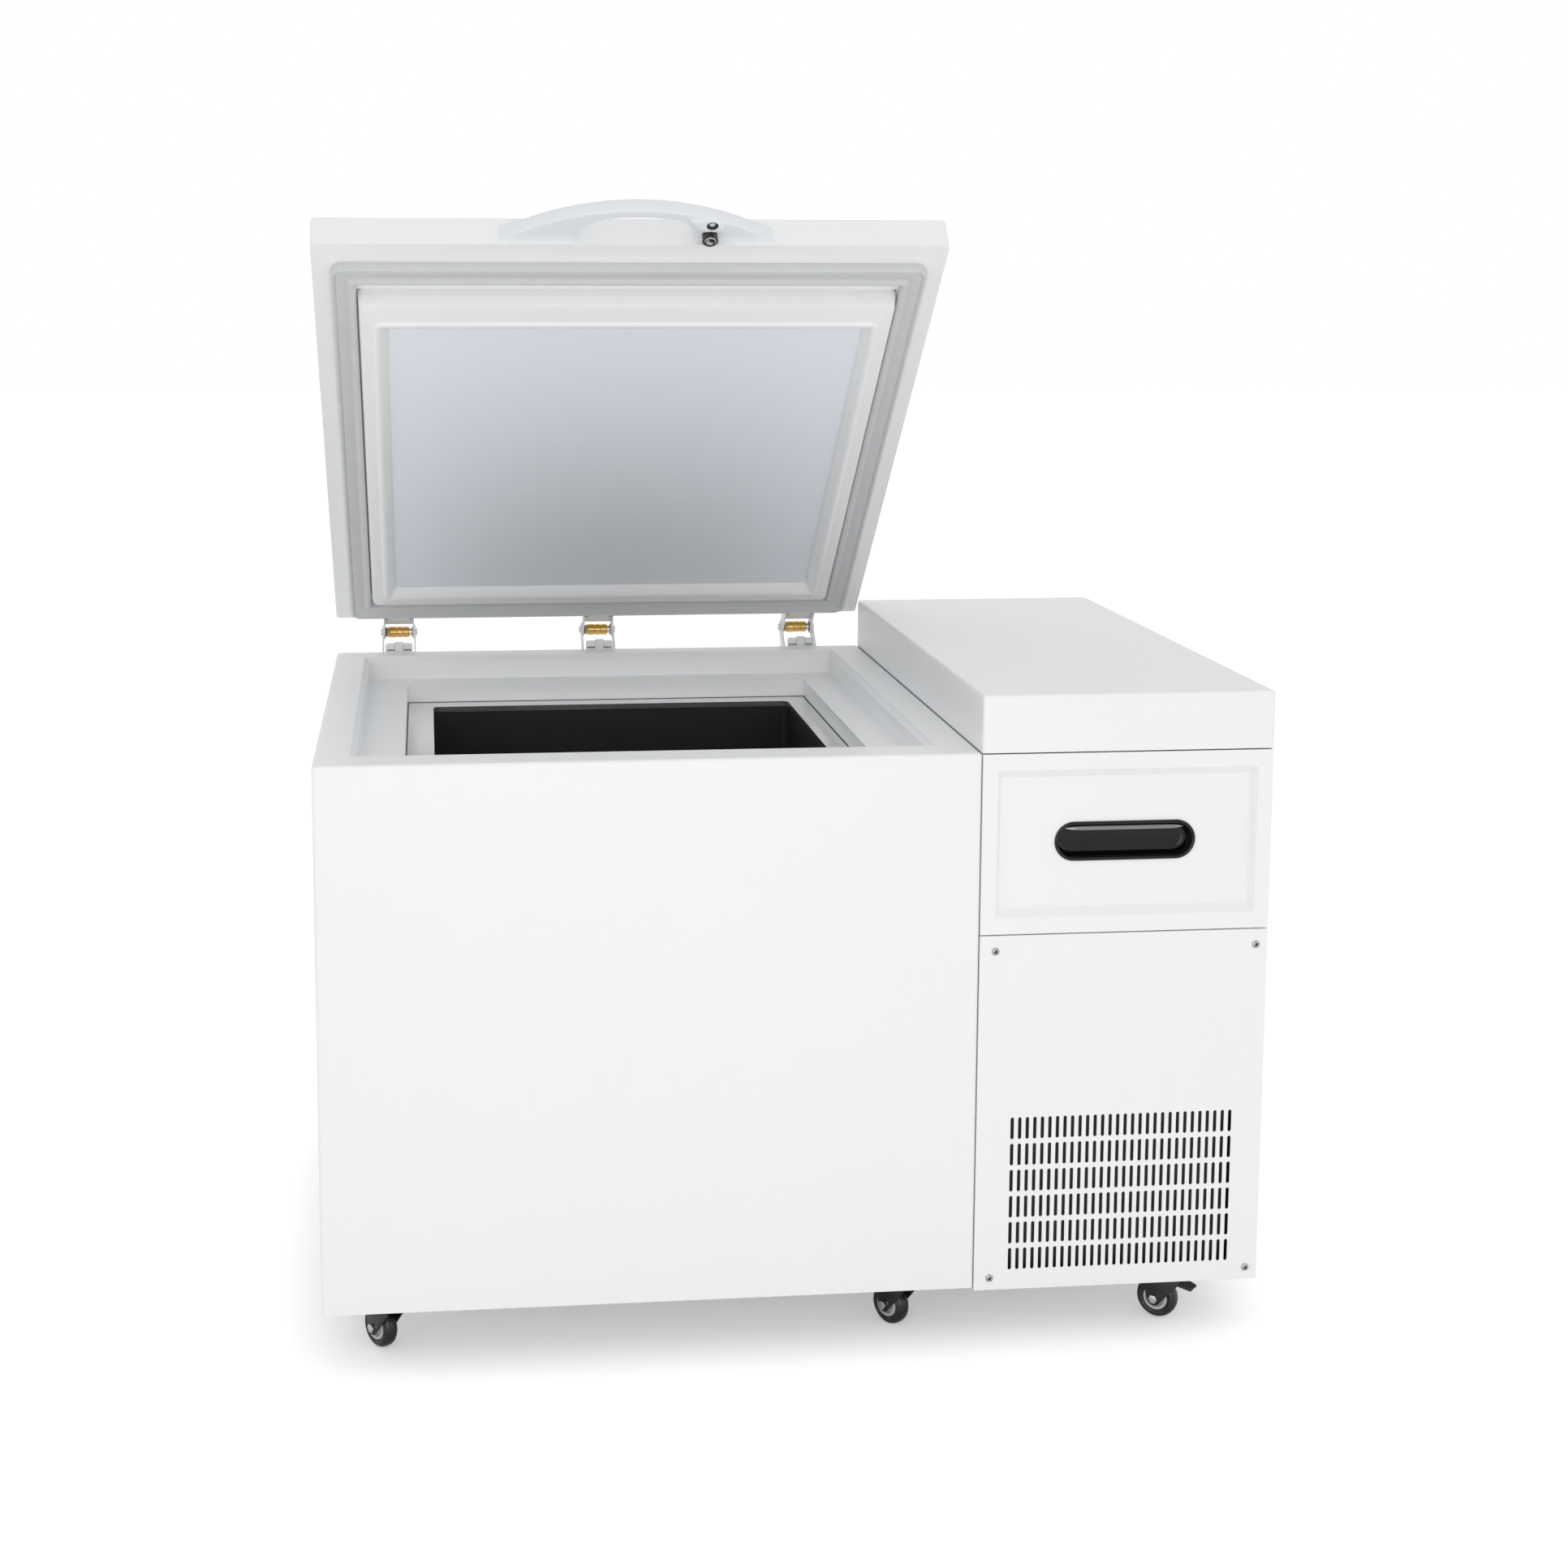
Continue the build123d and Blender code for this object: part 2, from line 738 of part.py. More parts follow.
# Brass barrels that turn on the pins with the lid
barrel_length = 2 * (upper_half - cheek) - fit
with BuildPart() as hinge_barrels:
    for x in hinge_xs:
        with BuildSketch(facing_right(x - barrel_length / 2)):
            with Locations((hinge_y, hinge_z)):
                Circle(barrel_radius)
                Circle(pin_radius + running_fit, mode=Mode.SUBTRACT)
        extrude(amount=barrel_length)
        for groove in barrel_grooves:
            with BuildSketch(facing_right(x + groove)):
                with Locations((hinge_y, hinge_z)):
                    Circle(eye_radius)
                    Circle(barrel_radius - hinge_groove / 2, mode=Mode.SUBTRACT)
            extrude(amount=hinge_groove, mode=Mode.SUBTRACT)
save(hinge_barrels, "hinge_barrels")

# Steel hinge pins with a head at each end
with BuildPart() as hinge_pins:
    for x in hinge_xs:
        reach = hinge_width / 2 + fit
        with BuildSketch(facing_right(x - reach - pin_head_height)):
            with Locations((hinge_y, hinge_z)):
                Circle(pin_head)
        extrude(amount=pin_head_height)
        with BuildSketch(facing_right(x - reach)):
            with Locations((hinge_y, hinge_z)):
                Circle(pin_radius)
        extrude(amount=2 * reach)
        with BuildSketch(facing_right(x + reach)):
            with Locations((hinge_y, hinge_z)):
                Circle(pin_head)
        extrude(amount=pin_head_height)
save(hinge_pins, "hinge_pins")

# Screws that hold the hinge brackets
with BuildPart() as hinge_lower_screws:
    with BuildSketch(facing_front(back_y + hinge_plate)):
        with Locations(*lower_screw_places):
            Circle(hinge_screw_head)
    extrude(amount=-hinge_screw_head_height)
    with BuildSketch(facing_front(back_y + hinge_plate)):
        with Locations(*lower_screw_places):
            Circle(hinge_screw_radius)
    extrude(amount=hinge_plate + sheet)
save(hinge_lower_screws, "hinge_lower_screws")

with BuildPart() as hinge_upper_screws:
    with BuildSketch(lid_face(lid_back + hinge_plate)):
        with Locations(*upper_screw_places):
            Circle(hinge_screw_head)
    extrude(amount=-hinge_screw_head_height)
    with BuildSketch(lid_face(lid_back + hinge_plate)):
        with Locations(*upper_screw_places):
            Circle(hinge_screw_radius)
    extrude(amount=hinge_plate + sheet)
save(hinge_upper_screws, "hinge_upper_screws")

# Places inside the machine bay
front_width = bay_width - 2 * seam
drawer_top = rim_z - 2 * seam
drawer_bottom = drawer_top - drawer_height
drawer_z = (drawer_top + drawer_bottom) / 2
lower_top = drawer_bottom - 2 * seam
lower_height = lower_top - bay_bottom
frame_left = seam_x + sheet + fit
frame_right = right_x - sheet - fit
frame_front = front_y + front_thickness + fit
frame_back = back_y - sheet - fit
frame_low = bay_bottom + base_thickness
frame_top = rim_z - fit
frame_width = frame_right - frame_left
frame_depth = frame_back - frame_front
frame_mid_y = (frame_front + frame_back) / 2
front_screw_places = [
    (x, z)
    for x in (seam_x + seam + screw_inset_left, right_x - seam - screw_inset_right)
    for z in (lower_top - screw_inset_top, bay_bottom + screw_inset_low)
]
back_screw_places = [
    (x, z)
    for x in (frame_left + angle_width / 2, frame_right - angle_width / 2)
    for z in (frame_top - screw_inset_top, rim_z - cabinet_height / 2, bay_bottom + screw_inset_low)
]
slots_z = bay_bottom + slots_middle
drawer_rail_z = drawer_bottom + tray_lift + tray_height / 2

# Welded angle frame of the bay
with BuildPart() as bay_frame:
    for x, turn_x in ((frame_left, 1), (frame_right, -1)):
        for y, turn_y in ((frame_front, 1), (frame_back, -1)):
            with BuildSketch(level(frame_low)):
                with Locations((x + turn_x * angle_width / 2, y + turn_y * angle_wall / 2)):
                    Rectangle(angle_width, angle_wall)
                with Locations((x + turn_x * angle_wall / 2, y + turn_y * angle_width / 2)):
                    Rectangle(angle_wall, angle_width)
            extrude(amount=frame_top - frame_low)
    for z in (lower_top - bar_height, frame_top - bar_height):
        with BuildSketch(level(z)):
            with Locations((bay_x, frame_mid_y)):
                Rectangle(frame_width, frame_depth)
                Rectangle(frame_width - 2 * angle_wall, frame_depth - 2 * angle_wall, mode=Mode.SUBTRACT)
        extrude(amount=bar_height)
    for x in (frame_left + angle_wall / 2, frame_right - angle_wall / 2):
        with BuildSketch(level(drawer_rail_z - bar_height / 2)):
            with Locations((x, frame_mid_y)):
                Rectangle(angle_wall, frame_depth)
        extrude(amount=bar_height)
    with BuildSketch(facing_front(frame_front)):
        with Locations(*front_screw_places):
            Circle(screw_shank + running_fit)
    extrude(amount=-2 * angle_wall, mode=Mode.SUBTRACT)
    with BuildSketch(facing_front(frame_back)):
        with Locations(*back_screw_places):
            Circle(screw_shank + running_fit)
    extrude(amount=2 * angle_wall, mode=Mode.SUBTRACT)
save(bay_frame, "bay_frame")

# Base plate that carries the compressors
with BuildPart() as bay_base:
    with BuildSketch(level(bay_bottom)):
        with Locations((bay_x, frame_mid_y)):
            Rectangle(frame_width, frame_depth)
    extrude(amount=base_thickness)
save(bay_base, "bay_base")

# Right side panel
with BuildPart() as bay_side_panel:
    with BuildSketch(facing_right(right_x - sheet)):
        with Locations(((frame_front + back_y) / 2, (bay_bottom + rim_z - fit) / 2)):
            Rectangle(back_y - frame_front, rim_z - fit - bay_bottom)
    extrude(amount=sheet)
save(bay_side_panel, "bay_side_panel")

# Back panel with air slots and the hole for the cable gland
gland_x = seam_x + gland_inset
gland_z = bay_bottom + gland_lift
with BuildPart() as bay_back_panel:
    with BuildSketch(facing_front(back_y)):
        with Locations(((seam_x + seam + frame_right) / 2, (bay_bottom + rim_z - fit) / 2)):
            Rectangle(frame_right - seam_x - seam, rim_z - fit - bay_bottom)
        with Locations((bay_x, slots_z)):
            with GridLocations(slot_pitch, slot_row_pitch, slot_columns, slot_rows):
                SlotOverall(slot_length, slot_width, rotation=90, mode=Mode.SUBTRACT)
        with Locations(*back_screw_places):
            Circle(screw_shank + running_fit, mode=Mode.SUBTRACT)
        with Locations((gland_x, gland_z)):
            Circle(gland_radius + running_fit, mode=Mode.SUBTRACT)
    extrude(amount=sheet)
save(bay_back_panel, "bay_back_panel")

# Raised cover over the bay
with BuildPart() as bay_cap:
    with BuildSketch(level(rim_z)):
        with Locations((bay_x, middle_y)):
            RectangleRounded(bay_width, cabinet_depth, corner_radius)
    extrude(amount=cap_height)
    fillet(bay_cap.faces().sort_by(Axis.Z)[-1].edges(), radius=edge_radius)
    offset(amount=-sheet, openings=bay_cap.faces().sort_by(Axis.Z)[0])
save(bay_cap, "bay_cap")

# Lower front panel: a shallow pan with rows of slots
with BuildPart() as front_panel:
    with BuildSketch(facing_front(front_y + front_thickness)):
        with Locations((bay_x, (lower_top + bay_bottom) / 2)):
            Rectangle(front_width, lower_height)
    extrude(amount=front_thickness)
    with BuildSketch(facing_front(front_y + front_thickness)):
        with Locations((bay_x, (lower_top + bay_bottom) / 2)):
            Rectangle(front_width - 2 * sheet, lower_height - 2 * sheet)
    extrude(amount=front_thickness - sheet, mode=Mode.SUBTRACT)
    with BuildSketch(facing_front(front_y + sheet)):
        with Locations((bay_x + slots_shift, slots_z)):
            with GridLocations(slot_pitch, slot_row_pitch, slot_columns, slot_rows):
                SlotOverall(slot_length, slot_width, rotation=90)
        with Locations(*front_screw_places):
            Circle(screw_shank + running_fit)
    extrude(amount=sheet, mode=Mode.SUBTRACT)
save(front_panel, "front_panel")

# Domed screws of the front and back panels
with BuildPart() as panel_screws:
    with BuildSketch(facing_front(front_y)):
        with Locations(*front_screw_places):
            Circle(dome_radius)
    extrude(amount=dome_height, taper=dome_taper)
    with BuildSketch(facing_front(front_y)):
        with Locations(*front_screw_places):
            Circle(screw_shank)
    extrude(amount=-front_thickness - fit - angle_wall)
    with BuildSketch(facing_front(back_y)):
        with Locations(*back_screw_places):
            Circle(dome_radius)
    extrude(amount=-dome_height, taper=dome_taper)
    with BuildSketch(facing_front(back_y)):
        with Locations(*back_screw_places):
            Circle(screw_shank)
    extrude(amount=sheet + fit + angle_wall)
save(panel_screws, "panel_screws")

# Drawer front: a pan with a bevelled recess and a hole for the pull
pull_z = drawer_z
recess_floor_width = front_recess_width - 2 * bevel_side
recess_floor_height = front_recess_height - 2 * bevel_end
with BuildPart() as drawer_front:
    with BuildSketch(facing_front(front_y + front_thickness)):
        with Locations((bay_x, drawer_z)):
            Rectangle(front_width, drawer_height)
    extrude(amount=front_thickness)
    with BuildSketch(facing_front(front_y + front_thickness)):
        with Locations((bay_x, drawer_z)):
            Rectangle(front_width - 2 * sheet, drawer_height - 2 * sheet)
    extrude(amount=front_thickness - sheet, mode=Mode.SUBTRACT)
    for growth, mode, deeper in ((2 * sheet, Mode.ADD, sheet), (0, Mode.SUBTRACT, 0)):
        with BuildSketch(facing_front(front_y)):
            with Locations((bay_x, drawer_z)):
                Rectangle(front_recess_width + growth, front_recess_height + growth)
        with BuildSketch(facing_front(front_y + front_recess + deeper)):
            with Locations((bay_x, drawer_z)):
                Rectangle(recess_floor_width + growth, recess_floor_height + growth)
        loft(mode=mode)
    with BuildSketch(facing_front(front_y + front_recess)):
        with Locations((bay_x, pull_z)):
            SlotOverall(pull_width - 2 * pull_rim + fit, pull_height - 2 * pull_rim + fit)
    extrude(amount=-2 * sheet, mode=Mode.SUBTRACT)
save(drawer_front, "drawer_front")

# Recessed pull: an obround cup with a rim, and a lip over its upper half to grip behind
cup_width = pull_width - 2 * pull_rim
cup_height = pull_height - 2 * pull_rim
with BuildPart() as drawer_pull:
    with BuildSketch(facing_front(front_y + front_recess)):
        with Locations((bay_x, pull_z)):
            SlotOverall(pull_width, pull_height)
    extrude(amount=pull_rim)
    with BuildSketch(facing_front(front_y + front_recess)):
        with Locations((bay_x, pull_z)):
            SlotOverall(cup_width, cup_height)
    extrude(amount=-pull_depth)
    with BuildSketch(facing_front(front_y + front_recess - pull_rim)):
        with Locations((bay_x, pull_z)):
            SlotOverall(cup_width - 2 * pull_wall, cup_height - 2 * pull_wall)
    extrude(amount=-(pull_depth + pull_rim - pull_wall), mode=Mode.SUBTRACT)
    with BuildSketch(facing_front(front_y + front_recess - pull_rim + pull_wall)):
        with Locations((bay_x, pull_z)):
            SlotOverall(cup_width, cup_height)
        with Locations((bay_x, pull_z - pull_lip)):
            Rectangle(pull_width, cup_height, mode=Mode.SUBTRACT)
    extrude(amount=pull_wall)
save(drawer_pull, "drawer_pull")

# Drawer tray behind the front, open at the top
tray_bottom = drawer_bottom + tray_lift
tray_front = front_y + front_recess + sheet
with BuildPart() as drawer_tray:
    with BuildSketch(level(tray_bottom)):
        with Locations((bay_x, tray_front + tray_length / 2)):
            Rectangle(tray_width, tray_length)
    extrude(amount=tray_height)
    offset(amount=-tray_wall, openings=drawer_tray.faces().sort_by(Axis.Z)[-1])
    with BuildSketch(facing_front(tray_front)):
        with Locations((bay_x, pull_z)):
            SlotOverall(cup_width + 2 * fit, cup_height + 2 * fit)
    extrude(amount=-2 * tray_wall, mode=Mode.SUBTRACT)
save(drawer_tray, "drawer_tray")

# Channel rails on the frame and the slides that run in them
rail_front = frame_front + 2 * sheet
rail_length = tray_front + tray_length - rail_front
rail_outer = frame_width / 2 - angle_width - fit
slide_inner = tray_width / 2
slide_outer = rail_outer - rail_thickness - fit
rail_lip = rail_thickness / 2
with BuildPart() as drawer_rails:
    for side in (-1, 1):
        with BuildSketch(facing_front(rail_front)):
            with Locations((bay_x + side * (rail_outer - rail_thickness / 2), drawer_rail_z)):
                Rectangle(rail_thickness, rail_height)
            for end in (-1, 1):
                middle = (slide_inner + rail_outer) / 2 + fit
                with Locations(
                    (bay_x + side * middle, drawer_rail_z + end * (rail_height - rail_lip) / 2)
                ):
                    Rectangle(rail_outer - slide_inner - 2 * fit, rail_lip)
        extrude(amount=-rail_length)
        with BuildSketch(facing_right(bay_x + side * (frame_width / 2 - angle_wall))):
            for y in (rail_front + bar_height, rail_front + rail_length - bar_height):
                with Locations((y, drawer_rail_z)):
                    Rectangle(bar_height, bar_height - 2 * fit)
        extrude(amount=-side * (angle_width - angle_wall + rail_thickness / 2))
save(drawer_rails, "drawer_rails")

with BuildPart() as drawer_slides:
    for side in (-1, 1):
        with BuildSketch(facing_front(rail_front)):
            with Locations((bay_x + side * (slide_inner + slide_outer) / 2, drawer_rail_z)):
                Rectangle(slide_outer - slide_inner, rail_height - 2 * rail_lip - 2 * fit)
        extrude(amount=-rail_length)
save(drawer_slides, "drawer_slides")

# Condenser behind the slotted panel, with a shroud, a fan and its motor
condenser_front = front_y + condenser_set
shroud_front = condenser_front + condenser_depth
shroud_back = shroud_front + shroud_depth
condenser_z = frame_low + condenser_height / 2
with BuildPart() as condenser:
    with BuildSketch(facing_front(condenser_front)):
        with Locations((bay_x, condenser_z)):
            Rectangle(condenser_width, condenser_height)
    extrude(amount=-condenser_depth)
save(condenser, "condenser")

with BuildPart() as fan_shroud:
    with BuildSketch(facing_front(shroud_front)):
        with Locations((bay_x, condenser_z)):
            Rectangle(condenser_width, condenser_height)
            Rectangle(condenser_width - 2 * sheet, condenser_height - 2 * sheet, mode=Mode.SUBTRACT)
    extrude(amount=-shroud_depth)
    with BuildSketch(facing_front(shroud_back)):
        with Locations((bay_x, condenser_z)):
            Rectangle(condenser_width, condenser_height)
            Circle(fan_radius + fan_gap, mode=Mode.SUBTRACT)
    extrude(amount=sheet)
    with BuildSketch(facing_front(shroud_back)):
        with Locations((bay_x, condenser_z)):
            Circle(fan_radius + fan_gap + sheet)
            Circle(fan_radius + fan_gap, mode=Mode.SUBTRACT)
    extrude(amount=fan_hub_length)
save(fan_shroud, "fan_shroud")

hub_back = shroud_back - 2 * running_fit - sheet
with BuildPart() as fan_rotor:
    with BuildSketch(facing_front(hub_back)):
        with Locations((bay_x, condenser_z)):
            Circle(fan_hub_radius)
            Circle(motor_shaft + running_fit, mode=Mode.SUBTRACT)
    extrude(amount=fan_hub_length)
    for k in range(fan_blades):
        turn = 360 / fan_blades * k
        hub_middle = Plane(
            origin=(bay_x, hub_back - fan_hub_length / 2, condenser_z),
            x_dir=(0, -1, 0),
            z_dir=(cos(radians(turn)), 0, sin(radians(turn))),
        )
        with BuildSketch(hub_middle.offset(fan_hub_radius - blade_thickness)):
            Rectangle(blade_thickness, blade_width, rotation=90 - blade_twist)
        extrude(amount=fan_radius - fan_hub_radius)
save(fan_rotor, "fan_rotor")

motor_front = shroud_back + motor_arm / 2
with BuildPart() as fan_motor:
    with BuildSketch(facing_front(motor_front)):
        with Locations((bay_x, condenser_z)):
            Circle(motor_radius)
    extrude(amount=-motor_length)
    fillet(fan_motor.faces().sort_by(Axis.Y)[-1].edges(), radius=motor_radius / 4)
    with BuildSketch(facing_front(motor_front)):
        with Locations((bay_x, condenser_z)):
            Circle(motor_shaft)
    extrude(amount=motor_front - hub_back + fan_hub_length)
    with BuildSketch(facing_front(shroud_back)):
        with Locations((bay_x, condenser_z)):
            Rectangle(condenser_width, motor_arm)
            Circle(motor_radius - motor_arm, mode=Mode.SUBTRACT)
    extrude(amount=-motor_arm)
save(fan_motor, "fan_motor")

# Two compressors of the cascade, one behind the other
compressor_ys = [
    shroud_back + motor_length + compressor_gap + compressor_radius,
    shroud_back + motor_length + 2 * compressor_gap + 3 * compressor_radius,
]
compressor_top = frame_low + compressor_height
for y, name in zip(compressor_ys, ("compressor_high_stage", "compressor_low_stage")):
    with BuildPart() as compressor:
        with BuildSketch(level(frame_low)):
            with Locations((bay_x, y)):
                RectangleRounded(2 * compressor_radius, 2 * compressor_radius, compressor_foot)
        extrude(amount=compressor_foot)
        with BuildSketch(level(frame_low)):
            with Locations((bay_x, y)):
                Circle(compressor_radius - compressor_foot)
        extrude(amount=compressor_height)
        fillet(compressor.faces().sort_by(Axis.Z)[-1].edges(), radius=compressor_radius / 3)
    save(compressor, name)

# Insulated heat exchanger between the two stages
exchanger_y = compressor_ys[1] + compressor_radius + compressor_gap + exchanger_depth / 2
exchanger_top = frame_low + exchanger_height
with BuildPart() as heat_exchanger:
    with BuildSketch(level(frame_low)):
        with Locations((bay_x, exchanger_y)):
            RectangleRounded(exchanger_width, exchanger_depth, compressor_foot)
    extrude(amount=exchanger_height)
save(heat_exchanger, "heat_exchanger")

# Filter drier standing on the base
drier_y = exchanger_y + exchanger_depth / 2 + compressor_gap + drier_radius
drier_top = frame_low + drier_length
with BuildPart() as filter_drier:
    with BuildSketch(level(frame_low)):
        with Locations((bay_x, drier_y)):
            Circle(drier_radius)
    extrude(amount=drier_length)
    fillet(filter_drier.faces().filter_by(Axis.Z).edges(), radius=drier_radius / 3)
save(filter_drier, "filter_drier")

# Copper pipes between the parts of the cooling circuit
condenser_y = condenser_front + condenser_depth / 2
condenser_top = frame_low + condenser_height
pipe_level = exchanger_top + 2 * pipe_bend
pipe_shift = compressor_radius / 4
pipe_routes = [
    [
        (bay_x - pipe_shift, compressor_ys[0], compressor_top),
        (bay_x - pipe_shift, compressor_ys[0], pipe_level),
        (bay_x - pipe_shift, condenser_y, pipe_level),
        (bay_x - pipe_shift, condenser_y, condenser_top),
    ],
    [
        (bay_x + pipe_shift, compressor_ys[0], compressor_top),
        (bay_x + pipe_shift, compressor_ys[0], pipe_level),
        (bay_x + pipe_shift, exchanger_y, pipe_level),
        (bay_x + pipe_shift, exchanger_y, exchanger_top),
    ],
    [
        (bay_x - pipe_shift, compressor_ys[1], compressor_top),
        (bay_x - pipe_shift, compressor_ys[1], pipe_level),
        (bay_x - pipe_shift, exchanger_y, pipe_level),
        (bay_x - pipe_shift, exchanger_y, exchanger_top),
    ],
    [
        (bay_x, drier_y, drier_top),
        (bay_x, drier_y, pipe_level + pipe_bend),
        (bay_x, exchanger_y, pipe_level + pipe_bend),
        (bay_x, exchanger_y, exchanger_top),
    ],
    [
        (bay_x - 3 * pipe_shift, exchanger_y, exchanger_top),
        (bay_x - 3 * pipe_shift, exchanger_y, pipe_level),
        (seam_x, exchanger_y, pipe_level),
    ],
]
with BuildPart() as refrigerant_pipes:
    for route in pipe_routes:
        with BuildLine():
            FilletPolyline(*route, radius=pipe_bend)
        with BuildSketch(level(route[0][2])):
            with Locations((route[0][0], route[0][1])):
                Circle(pipe_radius)
        sweep()
save(refrigerant_pipes, "refrigerant_pipes")

# Control box on the rear frame, behind the drawer
control_back = frame_back - angle_wall
with BuildPart() as control_box:
    with BuildSketch(level(lower_top)):
        with Locations((bay_x, control_back - control_depth / 2)):
            Rectangle(control_width, control_depth)
    extrude(amount=control_height)
save(control_box, "control_box")

# Cable gland through the back panel
gland_flange = gland_radius + gland_lap
with BuildPart() as cable_gland:
    with BuildSketch(facing_front(back_y)):
        with Locations((gland_x, gland_z)):
            RegularPolygon(gland_flange, 6)
    extrude(amount=-gland_length / 3)
    with BuildSketch(facing_front(back_y + gland_length / 3)):
        with Locations((gland_x, gland_z)):
            Circle(gland_radius)
    extrude(amount=-gland_length / 2)
    fillet(cable_gland.faces().sort_by(Axis.Y)[-1].edges(), radius=gland_radius / 3)
    with BuildSketch(facing_front(back_y)):
        with Locations((gland_x, gland_z)):
            Circle(gland_radius)
    extrude(amount=gland_length / 2)
    with BuildSketch(facing_front(back_y - sheet - fit)):
        with Locations((gland_x, gland_z)):
            RegularPolygon(gland_flange, 6)
    extrude(amount=gland_length / 4)
    with BuildSketch(facing_front(back_y + gland_length)):
        with Locations((gland_x, gland_z)):
            Circle(gland_radius / 2)
    extrude(amount=2 * gland_length, mode=Mode.SUBTRACT)
save(cable_gland, "cable_gland")

# Casters: place of the swivel, its turn in degrees and the surface above it
rear_y = back_y - caster_inset_end
chest_casters = {
    "front_left": (left_x + caster_inset_side, front_y + caster_inset_end, 35),
    "front_right": (seam_x - caster_inset_side, front_y + caster_inset_end, 33),
    "rear_left": (left_x + caster_inset_side, rear_y, 20),
    "rear_right": (seam_x - caster_inset_side, rear_y, 70),
}
bay_casters = {
    "bay_front": (right_x - bay_caster_inset, front_y + bay_caster_end, 50),
    "bay_rear": (right_x - bay_caster_inset, back_y - bay_caster_end, 15),
}
casters = {name: (*place, cabinet_bottom) for name, place in chest_casters.items()}
casters.update({name: (*place, bay_bottom) for name, place in bay_casters.items()})
crown_z = 2 * wheel_radius + crown_gap
cheek_inner = hub_width / 2 + fork_gap
cheek_outer = cheek_inner + fork_sheet


def caster_ground(x, y, turn):
    return Plane(origin=(x, y, 0), x_dir=(-sin(radians(turn)), cos(radians(turn)), 0), z_dir=(0, 0, 1))


def caster_side(ground, across):
    return Plane(
        origin=ground.from_local_coords((0, across, 0)), x_dir=ground.x_dir, z_dir=-ground.y_dir
    )


# Top plates with their kingpins
with BuildPart() as caster_plates:
    for x, y, turn, above in casters.values():
        with BuildSketch(level(above - mount_plate_sheet)):
            with Locations((x, y)):
                RectangleRounded(mount_plate, mount_plate, corner_radius)
        extrude(amount=mount_plate_sheet)
        with BuildSketch(level(crown_z - fit)):
            with Locations((x, y)):
                Circle(axle_radius)
        extrude(amount=above - mount_plate_sheet - crown_z + fit)
        with BuildSketch(level(crown_z - fit)):
            with Locations((x, y)):
                Circle(kingpin_head)
        extrude(amount=-kingpin_head_height)
save(caster_plates, "caster_plates")

for name, (x, y, turn, above) in casters.items():
    ground = caster_ground(x, y, turn)
    race_top = above - mount_plate_sheet - fit
    with BuildPart() as fork:
        with BuildSketch(ground.offset(crown_z)):
            Circle(race_radius)
            with Locations((trail / 2, 0)):
                Rectangle(trail + 2 * crown_margin, 2 * cheek_outer)
            make_hull()
        extrude(amount=fork_sheet)
        with BuildSketch(ground.offset(crown_z)):
            Circle(race_radius)
        extrude(amount=race_top - crown_z)
        for across in (cheek_outer, -cheek_inner):
            with BuildSketch(caster_side(ground, across)):
                with Locations((trail, wheel_radius)):
                    Circle(hub_radius)
                with Locations((trail / 2, crown_z)):
                    Rectangle(trail + 2 * crown_margin, 2 * fork_sheet)
                make_hull()
            extrude(amount=fork_sheet)
        with BuildSketch(ground.offset(crown_z - fork_sheet)):
            Circle(axle_radius + running_fit)
        extrude(amount=above, mode=Mode.SUBTRACT)
        with BuildSketch(caster_side(ground, cheek_outer)):
            with Locations((trail, wheel_radius)):
                Circle(axle_radius + running_fit)
        extrude(amount=2 * cheek_outer, mode=Mode.SUBTRACT)
        if name == "bay_front":
            with BuildSketch(caster_side(ground, cheek_inner)):
                with Locations((-pedal_set, crown_z - pedal_low)):
                    Circle(pedal_pin)
            extrude(amount=2 * cheek_inner)
        for across in (cheek_outer + fit + axle_head_height, -cheek_outer - fit):
            with BuildSketch(caster_side(ground, across)):
                with Locations((trail, wheel_radius)):
                    Circle(axle_head)
            extrude(amount=axle_head_height)
        with BuildSketch(caster_side(ground, cheek_outer + fit)):
            with Locations((trail, wheel_radius)):
                Circle(axle_radius)
        extrude(amount=2 * (cheek_outer + fit))
    save(fork, f"caster_fork_{name}")
    with BuildPart() as wheel:
        with BuildSketch(caster_side(ground, wheel_width / 2)):
            with Locations((trail, wheel_radius)):
                Circle(wheel_radius)
        extrude(amount=wheel_width)
        fillet(wheel.edges().filter_by(GeomType.CIRCLE), radius=tyre_round)
        with BuildSketch(caster_side(ground, hub_width / 2)):
            with Locations((trail, wheel_radius)):
                Circle(hub_radius)
        extrude(amount=hub_width)
        with BuildSketch(caster_side(ground, hub_width / 2)):
            with Locations((trail, wheel_radius)):
                Circle(axle_radius + running_fit)
        extrude(amount=hub_width, mode=Mode.SUBTRACT)
    save(wheel, f"caster_wheel_{name}")

# Brake pedal of the front caster under the bay
pedal_ground = caster_ground(*bay_casters["bay_front"])
pedal_z = crown_z - pedal_low
with BuildPart() as caster_brake_pedal:
    with BuildSketch(caster_side(pedal_ground, pedal_width / 2)):
        with Locations((-pedal_set, pedal_z)):
            Circle(pedal_pin + pedal_thickness)
        with Locations((-pedal_set - pedal_reach, pedal_z - pedal_drop)):
            Circle(pedal_thickness)
        make_hull()
        with Locations((-pedal_set, pedal_z)):
            Circle(pedal_pin + running_fit, mode=Mode.SUBTRACT)
    extrude(amount=pedal_width)
save(caster_brake_pedal, "caster_brake_pedal")
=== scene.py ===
from math import atan2, cos, hypot, pi, radians, sin, sqrt

import bmesh
import bpy
from mathutils import Matrix, Vector


